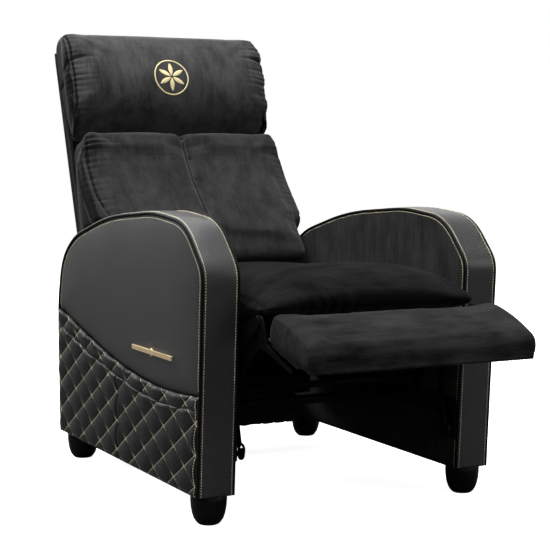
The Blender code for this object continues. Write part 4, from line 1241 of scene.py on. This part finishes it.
back_pad = cushion("back_cushion", "back_cushion_cover", 0.0068, 0.004, 0.009,
                   lambda p: in_back(p)[0] > FRAME_FRONT - 0.004)
reshape(back_pad, back_form)
refine(back_pad, lambda p: (abs(p.x) > 0.215 or abs(p.x) < 0.02) and in_back(p)[0] < 0.06)
mould(back_pad, back_folds)
dress(back_pad, VELVET_BACK, "back", ["back_cushion"])
velvet_sides(back_pad)
back_skin = skin([back_pad])
DULL_STITCH, DULL_GAP, DULL_RADIUS = 0.0040, 0.0014, 0.0005
seam_rows = []
for away in (-0.0058, 0.0058):
    row = [from_back(seam_sway(up) + away, 0, up) for up in np.arange(0.10, 0.425, 0.006)]
    laid = lay_on(back_skin, row, TO_REAR)
    seam_rows += stitches(laid, [-TO_REAR] * len(row), DULL_STITCH, DULL_GAP, DULL_RADIUS)
dress(rod("back_seam_stitching", seam_rows, DULL_RADIUS, 0), DULL_THREAD, "back")
print("back cushion faces", len(back_pad.data.polygons))

# %% [markdown]
# The head roll is the fullest cushion. It overhangs the back cushion, and its cover wraps round
# the top corners of the frame.

# %% The head roll
FOLD_UP = 0.640
ROUND_BELOW, ROUND_DEPTH = 0.600, 0.068


def rounded_under(up):
    """How far the roll's front draws back near its lower edge, beyond the CAD solid's own round."""
    own = drawn_in(0.474 - up, 0.034, 0.034)
    share = min(0.99, max(0.0, (ROUND_BELOW - up) / (ROUND_BELOW - 0.436)))
    return max(0.0, ROUND_DEPTH * (1 - (1 - share ** 2.2) ** 0.5) - own)


def head_form(p):
    rear, up = in_back(p)
    side = abs(p.x)
    drawn = 0.72 * drawn_in(side, CUSHION_HALF, 0.034)
    front = smooth((0.06 - rear) / 0.05)
    corner = 1 - 0.75 * smooth((0.53 - up) / 0.06)
    back_off = rounded_under(up) * smooth((0.075 - rear) / 0.04)
    forward = (drawn * corner + 0.006 * smooth((side - 0.15) / 0.08) * corner) * front - back_off
    square = drawn * (1 - 0.8 * smooth((rear - 0.05) / 0.04))
    lift = (square + 0.0125 + 0.010 * p.x) * smooth((up - 0.62) / 0.08)
    lift -= 0.25 * drawn * smooth((0.50 - up) / 0.05) * front
    fuller = 0.0045 + 0.0025 * smooth((up - 0.62) / 0.05)
    return from_back(widened(p.x, rear, 1.0, fuller), rear - forward, max(up + lift, 0.4385))


def big_fold(p, rear, up, side):
    """The one deep fold that runs from the side panel over the seam into the front."""
    home = FOLD_UP + (0.012 if p.x > 0 else 0.0)
    if side < SIDE_SEAM:
        inward = SIDE_SEAM - side
        line = home + 0.14 * inward - 1.2 * inward * inward
        return groove(up - line, 0.0085, 0.0052) * exp(-(inward / 0.045) ** 2)
    return groove(up - home + 0.42 * max(0.0, rear + 0.01), 0.0040, 0.0060)


def head_folds(p, n):
    rear, up = in_back(p)
    side = abs(p.x)
    facing = max(0.0, -n.dot(TO_REAR), n.dot(UP_BACK) * 0.8)
    move = 0.0
    if rear < FRAME_FRONT - 0.004:
        move += groove(side - SIDE_SEAM, 0.0040, 0.0040) + big_fold(p, rear, up, side)
        seed = 31.0 if p.x > 0 else 37.0
        if side < SIDE_SEAM:
            move += gather(up, seed, SIDE_SEAM - side, 0.020, 0.0046, 0.0150) * min(1, facing * 1.5)
        else:
            move += gather(up, seed, side - SIDE_SEAM, 0.020, 0.0020, 0.0150)
    notch = exp(-(p.x / 0.030) ** 2) * exp(-((up - 0.442) / 0.018) ** 2)
    move += 0.005 * notch
    move += 0.0022 * noise.noise(Vector((p.x * 6, up * 10, 8.0))) * facing
    return move


head_pad = cushion("head_cushion", "head_roll_cover", 0.0068, 0.004, 0.009,
                   lambda p: in_back(p)[0] > FRAME_FRONT - 0.004 and in_back(p)[1] < 0.704)
reshape(head_pad, head_form)
refine(head_pad, lambda p: abs(p.x) > 0.215 and in_back(p)[0] < 0.06)
mould(head_pad, head_folds)
dress(head_pad, VELVET_HEAD_PAINTED_LIGHT, "back", ["head_cushion"])
velvet_sides(head_pad)
head_skin = skin([head_pad])
SIDE_PANEL = ((0.042, 0.451), (0.022, 0.468), (0.007, 0.500), (-0.004, 0.545), (-0.005, 0.61),
              (0.003, 0.662), (0.022, 0.704), (0.050, 0.722), (0.085, 0.724), (0.104, 0.713),
              (0.1105, 0.695), (0.1112, 0.645), (0.107, 0.595), (0.099, 0.540), (0.084, 0.490),
              (0.063, 0.449))
AROUND = [(i * 0.005, k * 0.005) for i in (-1, 0, 1) for k in (-1, 0, 1)]
PANEL_FACE, UNDER_ROLL, DEEPEST, OVER_ROLL = 0.2822, 0.0035, 0.018, 0.0006


def roll_width(co, side, step=(0, 0)):
    """How far the finished roll reaches to one side at a point, or a step away from it."""
    start = Vector((side * 0.4, co.y + step[0], co.z + step[1]))
    spot = head_skin.ray_cast(start, Vector((-side, 0, 0)))[0]
    return abs(spot.x) if spot else 0.0


def head_side_panel(word, side):
    """The roll's side panel, which reaches back over the frame to the rear cover's edge."""
    corners = [from_back(0, rear, up) for rear, up in SIDE_PANEL]
    loop = [Vector((p.y, p.z)) for p in corners]
    loop = evenly([*loop, loop[0]], 0.006)[:-1]
    for _ in range(2):
        loop = [(a + b * 2 + c) / 4 for a, b, c in zip(loop[-1:] + loop, loop, loop[1:] + loop[:1])]
    near_edge = edge_finder(loop)
    cuts = [((1, 0), spaced(0.45, 0.72, 0.005)), ((0, 1), spaced(0.75, 1.1, 0.005))]

    def reach(co):
        rear, up = in_back(co)
        d = near_edge(co)
        face = PANEL_FACE - TAPER * smooth(rear / FRAME_FRONT) - 0.0028 * exp(-d / 0.004)
        fold = groove(up - FOLD_UP + 0.42 * (rear + 0.01), 0.0040, 0.0060)
        soft = 0.0010 * noise.noise(Vector((side, rear * 25, up * 18)))
        face += (fold + soft) * min(1.0, d / 0.008)
        near = [max(roll_width(co, side, step) - UNDER_ROLL, face - DEEPEST) for step in AROUND]
        under = sum(near) / len(near)
        over = smooth((rear - 0.004) / 0.018)
        return over * max(face, roll_width(co, side) + OVER_ROLL) + (1 - over) * min(face, under)

    panel = stand_panel(f"head_side_panel_{word}", flat_panel(loop, cuts), side, reach, 0.0030)
    return dress(panel, VELVET_SIDE_PAINTED_SHADE, "back", ())


for arm_word, arm_side in SIDES:
    side_velvet = head_side_panel(arm_word, arm_side)
print("head roll faces", len(head_pad.data.polygons), "side panel faces", len(side_velvet.data.polygons))

# %% [markdown]
# On the head roll sits a plain embroidered figure, a ring with the six-petalled flower that a
# pair of compasses draws. Each band of satin stitch is a small grid, laid on the cushion by
# rays and thickened. Its UV map runs along the stitches.

# %% Embroidery on the head roll
RING_UP, RING_X = 0.588, -0.010
RING_RADIUS, RING_WIDTH, PETAL, SATIN_THICK = 0.047, 0.0036, 0.0385, 0.0016


def embroider(name, along, across, place):
    """A grid over place(u, v), laid on the head roll, with u along the band and v across it."""
    bm = bmesh.new()
    bmesh.ops.create_grid(bm, x_segments=along, y_segments=across, size=1)
    marks = {}
    for v in bm.verts:
        u, w = (v.co.x + 1) / 2, v.co.y
        x, up = place(u, w)
        marks[v.index] = (u * along * 0.0016, w * 0.002)
        crown = 0.0007 * (1 - w * w)
        v.co = lay_on(head_skin, [from_back(RING_X + x, 0, RING_UP + up)], TO_REAR, 0.0006 + crown)[0]
    lay_uv(bm, marks)
    face_towards(bm, -TO_REAR)
    return dress(thicken(piece_from(name, bm), SATIN_THICK), SATIN_STITCH, "back")


def on_ring(u, w):
    angle = 2 * pi * u
    reach = RING_RADIUS + w * RING_WIDTH / 2
    return reach * cos(angle), reach * sin(angle)


embroider("head_ring", 132, 3, on_ring)
for petal in range(6):
    turned = radians(90 + petal * 60)

    def on_petal(u, w):
        run = PETAL * (0.10 + 0.90 * u)
        half_width = PETAL * 0.155 * sin(pi * min(max(0.02 + 0.96 * u, 0), 1)) ** 0.8
        aside = w * half_width
        return run * cos(turned) - aside * sin(turned), run * sin(turned) + aside * cos(turned)

    embroider(f"head_petal_{petal + 1}", 26, 5, on_petal)
print("embroidered ring", RING_RADIUS * 2, "m across")

# %% [markdown]
# The seat cushion is fullest near its front, falls to the rear, and turns down in front, where
# its cover is gathered into the lower seam.

# %% The seat cushion
SPRING_TOP, SEAT_SEAM, FRONT_SEAM = 0.4026, 0.254, 0.447


def seat_form(p):
    """Lower to the rear and to both sides, and with its front edge rolled a little further down."""
    aside = (abs(p.x) / 0.262) ** 2.6
    ahead = smooth((-0.33 - p.y) / 0.15)
    drop = 0.11 + 0.23 * aside + 0.16 * smooth((p.y + 0.37) / 0.26) + 0.09 * ahead * aside
    height = max(0.0, p.z - SPRING_TOP)
    return Vector((p.x, p.y, p.z - height * drop))


def seat_folds(p, n):
    side = abs(p.x)
    up = max(0.0, n.z)
    front = max(0.0, -n.y)
    seed = 51.0 if p.x > 0 else 57.0
    move = groove(side - SEAT_SEAM, 0.0035, 0.0045) * smooth((p.z - 0.425) / 0.02)
    if side < SEAT_SEAM:
        move += gather(p.y, seed, SEAT_SEAM - side, 0.014, 0.0018, 0.02) * up
    if p.y < -0.44:
        lower = max(0.0, p.z - FRONT_SEAM)
        strong = exp(-((p.x + 0.11) / 0.055) ** 2)
        pull = gather(p.x + lower * 0.6, 61.0, lower, 0.024, 0.0006 + 0.0105 * strong, 0.026)
        move += pull * min(1, front * 1.8)
        move += groove(p.z - FRONT_SEAM, 0.0040, 0.0050) * front
    move += 0.0030 * noise.noise(Vector((p.x * 5, p.y * 5, 3.0))) * up
    return move


seat_pad = cushion("seat_cushion", "seat_cushion_cover", 0.0076, 0.004, 0.010,
                   lambda p: p.z < SPRING_TOP + 0.004)
reshape(seat_pad, seat_form)
refine(seat_pad, lambda p: p.y < -0.45)
mould(seat_pad, seat_folds)
dress(seat_pad, VELVET_SEAT_PAINTED_SHADE, "seat", ["seat_cushion"])
print("seat cushion faces", len(seat_pad.data.polygons))

# %% [markdown]
# The footrest has a padded top that bulges over its edges and is gathered at its front corners.
# Below it the same velvet wraps the board, and a welt closes the seam between the two.

# %% The footrest
REST_HINGE = Vector((0, -0.467, 0.428))
REST_SLOPE = radians(19)
REST_REAR = Vector((0, cos(REST_SLOPE), sin(REST_SLOPE)))
REST_UP = Vector((0, -sin(REST_SLOPE), cos(REST_SLOPE)))
PAD_BASE = -0.0187


def in_rest(p):
    offset = p - REST_HINGE
    return -offset.dot(REST_REAR), offset.dot(REST_UP)


def from_rest(x, forward, up):
    return REST_HINGE + Vector((x, 0, 0)) - REST_REAR * forward + REST_UP * up


REST_REAR_FACE, REST_ROUND, REST_HALF = 0.049, 0.020, 0.266


def underside_lift(forward):
    """The footrest is a wedge: its underside rises towards the front."""
    return 0.010 * smooth((forward - 0.05) / 0.19)


def rest_form(p):
    forward, up = in_rest(p)
    side = abs(p.x)
    drawn = drawn_in(side, REST_HALF, REST_ROUND)
    upper = smooth((up + 0.004) / 0.020)
    rear_drop = drawn_in(REST_REAR_FACE + REST_ROUND - forward, REST_ROUND, REST_ROUND)
    arch = sin(pi * min(1.0, max(0.0, (forward - 0.030) / 0.215))) ** 0.8
    crown = 0.006 * (side / REST_HALF) ** 2 + 0.008 * smooth((side - 0.19) / 0.06) * arch
    swell = 0.004 + 0.009 * arch + crown
    rise = (0.72 * drawn + 0.70 * rear_drop * (forward < 0.072) + swell) * upper
    low = smooth((0.010 - up) / 0.026)
    rise += underside_lift(forward) * low
    corner = smooth((side - 0.225) / 0.03) * smooth((forward - 0.185) / 0.03)
    wide = 1 + 0.019 * smooth((up + 0.012) / 0.02) - 0.010 * low + 0.010 * corner
    ahead = smooth((forward - 0.18) / 0.03)
    forward += (0.30 * drawn + 0.001 + 0.009 * low) * ahead + 0.004 * corner * (1 - low)
    return from_rest(p.x * wide, forward, up + rise)


def rest_folds(p, n):
    forward, up = in_rest(p)
    side = abs(p.x)
    base = PAD_BASE + underside_lift(forward)
    corner = exp(-(max(0.0, 0.262 - side) / 0.035) ** 2) * exp(-(max(0.0, 0.215 - forward) / 0.030) ** 2)
    seed = 71.0 if p.x > 0 else 77.0
    around = side + (0.22 - forward)
    upright = 1 - max(0.0, n.dot(REST_UP))
    above_seam = max(0.0, up - base - 0.004)
    move = gather(around, seed, above_seam, 0.024, 0.0040 * corner + 0.0004, 0.0092) * upright
    move += 0.0020 * noise.noise(Vector((p.x * 6, forward * 7, 4.0))) * max(0.0, n.z)
    move += groove(up - base - 0.0035, 0.0016, 0.0022) * upright
    return move


rest_pad = cushion("footrest_pad", "footrest_pad_cover", 0.0060, 0.001, 0.003,
                   lambda p: in_rest(p)[1] < PAD_BASE + 0.003)
reshape(rest_pad, rest_form)
refine(rest_pad, lambda p: abs(p.x) > 0.20 and in_rest(p)[0] > 0.14)
mould(rest_pad, rest_folds)
dress(rest_pad, VELVET_REST, "footrest", ["footrest_pad"])
rest_board = even_copy("footrest_board", "footrest_wrapped_board", 0.0032)
soften(rest_board.data, 3)


def board_form(p):
    """The board behind the pad's wedge, shorter in front, so that only the pad shows there."""
    forward, up = in_rest(p)
    deep = smooth((-0.017 - up) / 0.012)
    ahead = max(0.0, forward - 0.08)
    return from_rest(p.x * (0.985 - 0.010 * deep), forward - ahead * (0.28 + 0.10 * deep),
                     up + (underside_lift(forward) * 0.85) * (1 - 0.4 * deep))


reshape(rest_board, board_form)
mould(rest_board, lambda p, n: 0.0007 * noise.noise(p * 30))
dress(rest_board, VELVET_REST, "footrest", ["footrest_board"])


def trimmed_bracket(word):
    """The footrest's bracket with eased edges and its front end drawn back behind the pad."""
    bm = bmesh.new()
    bm.from_mesh(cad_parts[f"footrest_bracket_{word}"].data)
    for v in bm.verts:
        forward, up = in_rest(v.co)
        v.co = from_rest(v.co.x, forward - max(0.0, forward - 0.09) * 0.40, up)
    bracket = piece_from(f"footrest_bracket_plate_{word}", bm, False)
    ease = bracket.modifiers.new("eased edge", "BEVEL")
    ease.width = 0.0004
    ease.limit_method = "ANGLE"
    apply_modifiers(bracket)
    return dress(bracket, BLACK_STEEL, "footrest", [f"footrest_bracket_{word}"])


for arm_word, arm_side in SIDES:
    trimmed_bracket(arm_word)


def rest_outline(reach, front, rear=0.052, soft=0.022):
    """The footrest's outline from one rear corner round the front to the other, in x and forward."""
    turns = [radians(10 * k) for k in range(1, 9)]
    points = [Vector((-reach, rear)), Vector((-reach, front - soft))]
    points += [Vector((-reach + soft - soft * cos(a), front - soft + soft * sin(a))) for a in turns]
    points += [Vector((-reach + soft, front)), Vector((reach - soft, front))]
    points += [Vector((reach - soft + soft * sin(a), front - soft + soft * cos(a))) for a in turns]
    points += [Vector((reach, front - soft)), Vector((reach, rear))]
    return evenly(points, 0.006)


welt_line = [from_rest(p.x, p.y, PAD_BASE + 0.0030 + underside_lift(p.y))
             for p in rest_outline(0.2590, 0.2195)]
dress(rod("footrest_welt", [welt_line], 0.0024), VELVET_REST, "footrest")
print("footrest pad faces", len(rest_pad.data.polygons))

# %% [markdown]
# Behind the cushions, the back is closed by a velvet panel with a welt round it, a strip on
# each side and a cloth in front of its posts. Below, the seat has a black lining stapled under
# its rails, a strip of velvet over its front rail, and a curtain that hangs from its rear rail
# and hides the mechanism. Two more linings bridge the gaps behind and before the seat, to the
# back and to the footrest.

# %% Rear cover, side strips, linings
def grid_sheet(name, wide, high, place_point, thickness):
    """A grid of faces laid by place_point(u, v), with u and v from -1 to 1, and thickened."""
    bm = bmesh.new()
    bmesh.ops.create_grid(bm, x_segments=wide, y_segments=high, size=1)
    for v in bm.verts:
        v.co = place_point(v.co.x, v.co.y)
    bmesh.ops.recalc_face_normals(bm, faces=bm.faces)
    return thicken(piece_from(name, bm), thickness, 0)


def between(low, high, v):
    """A place from low, where v is -1, to high, where v is 1."""
    return (low + high) / 2 + v * (high - low) / 2


REAR_FACE, PANEL_LOW, PANEL_HIGH, PANEL_HALF = 0.1116, 0.019, 0.698, 0.2716


def rear_point(u, v):
    x = u * PANEL_HALF
    up = between(PANEL_LOW, PANEL_HIGH, v)
    d = max(0, min(PANEL_HALF - abs(x), PANEL_HIGH - up, up - PANEL_LOW))
    soft = 0.0012 * noise.noise(Vector((x * 6, up * 6, 1)))
    return from_back(x, REAR_FACE - 0.0005 - 0.0030 * exp(-d / 0.006) + soft * min(1, d / 0.05), up)


rear_cover = grid_sheet("back_rear_cover", 70, 86, rear_point, 0.004)
dress(rear_cover, VELVET_BACK, "back", ["back_panel"])
WELT_HALF, WELT_LOW, WELT_HIGH = 0.2694, 0.0215, 0.6960
CORNERS = ((-1, WELT_LOW), (1, WELT_LOW), (1, WELT_HIGH), (-1, WELT_HIGH), (-1, WELT_LOW))
border = evenly([Vector((x * WELT_HALF, up)) for x, up in CORNERS], 0.02)
welt_path = [from_back(p.x, REAR_FACE - 0.0022, p.y) for p in border]
dress(rod("back_welt", [welt_path], 0.0030), VELVET_BACK, "back")
for arm_word, arm_side in SIDES:
    strip = even_copy(f"back_gusset_{arm_word}", f"back_side_strip_{arm_word}", 0.0026)
    soften(strip.data, 4)
    mould(strip, lambda p, n: 0.0008 + crease(p.z, 91.0, 0, 0.1, 0.0008, 0.03) * abs(n.x))
    strip.data.shade_smooth()
    dress(strip, VELVET_SIDE_PAINTED_SHADE, "back", [f"back_gusset_{arm_word}"])
FRONT_HALF, FRONT_LOW, FRONT_HIGH = 0.2560, 0.060, 0.698
front_cloth = grid_sheet("back_front_cloth", 50, 60, lambda u, v: from_back(
    u * FRONT_HALF, 0.0776, between(FRONT_LOW, FRONT_HIGH, v)), CLOTH_THICK)
dress(front_cloth, VELVET_SEAT_PAINTED_SHADE, "back")
LINING_HALF, LINING_FRONT, LINING_REAR = 0.2590, -0.3595, 0.2345
seat_lining = grid_sheet("seat_lining", 30, 40, lambda u, v: Vector((
    u * LINING_HALF, between(LINING_FRONT, LINING_REAR, v),
    0.3500 + 0.0010 * noise.noise(Vector((u * 4, v * 5, 0))))), CLOTH_THICK)
dress(seat_lining, LINING, "seat")
COVER_HALF, COVER_LOW, COVER_HIGH = 0.2560, 0.350, 0.4027
front_cover = grid_sheet("seat_front_cover", 60, 8, lambda u, v: Vector((
    u * COVER_HALF, -0.3618 - 0.0012 * (1 + noise.noise(Vector((u * 22, v, 3)))),
    between(COVER_LOW, COVER_HIGH, v))), 0.0016)
dress(front_cover, VELVET_SEAT_PAINTED_SHADE, "seat")
CURTAIN_HALF, CURTAIN_LOW, CURTAIN_HIGH, CURTAIN_THICK = 0.2655, 0.137, 0.392, 0.0010


def curtain_point(u, v):
    down = (1 - v) / 2
    fold = 0.5 + 0.5 * sin(u * 34 + 1.5 * sin(u * 7)) + noise.noise(Vector((u * 6, v, 5)))
    return Vector((u * CURTAIN_HALF, 0.2368 + 0.007 * down + 0.004 * max(0.0, fold) * (0.25 + down),
                   CURTAIN_LOW + (1 - down) * (CURTAIN_HIGH - CURTAIN_LOW)))


curtain = grid_sheet("seat_rear_curtain", 150, 30, curtain_point, CURTAIN_THICK)
dress(curtain, LINING, "seat")


def bridge(name, near, far, half, sag):
    """A lining hung from a rail of one body to a rail of the next."""

    def place(u, v):
        t = (1 + v) / 2
        drop = sag * 4 * t * (1 - t) + 0.0015 * noise.noise(Vector((u * 5, t * 3, 11))) * sin(pi * t)
        return near.lerp(far, t) + Vector((u * half, 0, -drop))

    line = [place(0, v) for v in np.linspace(-1, 1, 25)]
    length = sum((b - a).length for a, b in zip(line, line[1:]))
    cloth = grid_sheet(name, 40, 24, place, CURTAIN_THICK)
    cloth.data.materials.append(LINING)
    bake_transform(cloth)


bridge("back_gap_lining", Vector((0, 0.2375, 0.396)), from_back(0, 0.0770, 0.052), 0.2525, 0.022)
bridge("footrest_gap_lining", Vector((0, -0.3668, 0.368)), from_rest(0, 0.0500, -0.0170), 0.2440, 0.012)
print("linings in place")

# %% [markdown]
# Low down at the rear, a rail between the arms is wrapped in velvet, with pleats where the
# cloth is drawn round it.

# %% The rear rail
rear_wrap = even_copy("rear_rail", "rear_rail_cover", 0.0042)
soften(rear_wrap.data, 3)
mould(rear_wrap, lambda p, n: 0.0012 + crease(p.x, 83.0, 0, 0.1, 0.0036, 0.034) * (1 - abs(n.x)))
rear_wrap.data.shade_smooth()
dress(rear_wrap, VELVET_UPRIGHT, "base", ["rear_rail"])
print("rear rail faces", len(rear_wrap.data.polygons))

# %% [markdown]
# Above each quilted panel sits a plain bar of brushed gold metal with a small lozenge at its
# middle. It is bent to the pad, and its edges are bevelled.

# %% Gold bars on the arms
BAR_FRONT, BAR_REAR = ARM_FRONT + 0.124, ARM_FRONT + 0.333
BAR_HEIGHT, BAR_Z, BAR_PROUD, BAR_SUNK = 0.0100, 0.3330, 0.0036, 0.0006
LOZENGE_REACH, LOZENGE_HEIGHT = 0.011, 0.019


def gold_bar(word, side):
    out = Vector((side, 0, 0))
    bm = bmesh.new()
    for low, high, tall in ((BAR_FRONT, BAR_REAR, BAR_HEIGHT),
                            (-LOZENGE_REACH, LOZENGE_REACH, LOZENGE_HEIGHT)):
        made = bmesh.ops.create_grid(bm, x_segments=40 if tall == BAR_HEIGHT else 2, y_segments=2, size=1)
        verts = made["verts"]
        lozenge = tall != BAR_HEIGHT
        for v in verts:
            u, w = v.co.x, v.co.y
            y = between(low, high, u) + ((BAR_FRONT + BAR_REAR) / 2 if lozenge else 0)
            shape = (1 - abs(u)) if lozenge else 1
            v.co = (side * ARM_OUTER, y, BAR_Z + w * tall / 2 * shape)
    bmesh.ops.remove_doubles(bm, verts=bm.verts, dist=0.00002)
    for v in bm.verts:
        v.co = lay_on(outer_skins[word], [v.co.copy()], -out, BAR_PROUD)[0]
    face_towards(bm, out)
    bar = thicken(piece_from(f"arm_gold_bar_{word}", bm, False), BAR_PROUD + BAR_SUNK)
    rim = bar.modifiers.new("rim", "BEVEL")
    rim.width = 0.0007
    rim.segments = 2
    rim.limit_method = "ANGLE"
    apply_modifiers(bar)
    return dress(bar, GOLD_METAL, "base")


for arm_word, arm_side in SIDES:
    gold_bar(arm_word, arm_side)
print("bar", round(BAR_REAR - BAR_FRONT, 3), "m long")
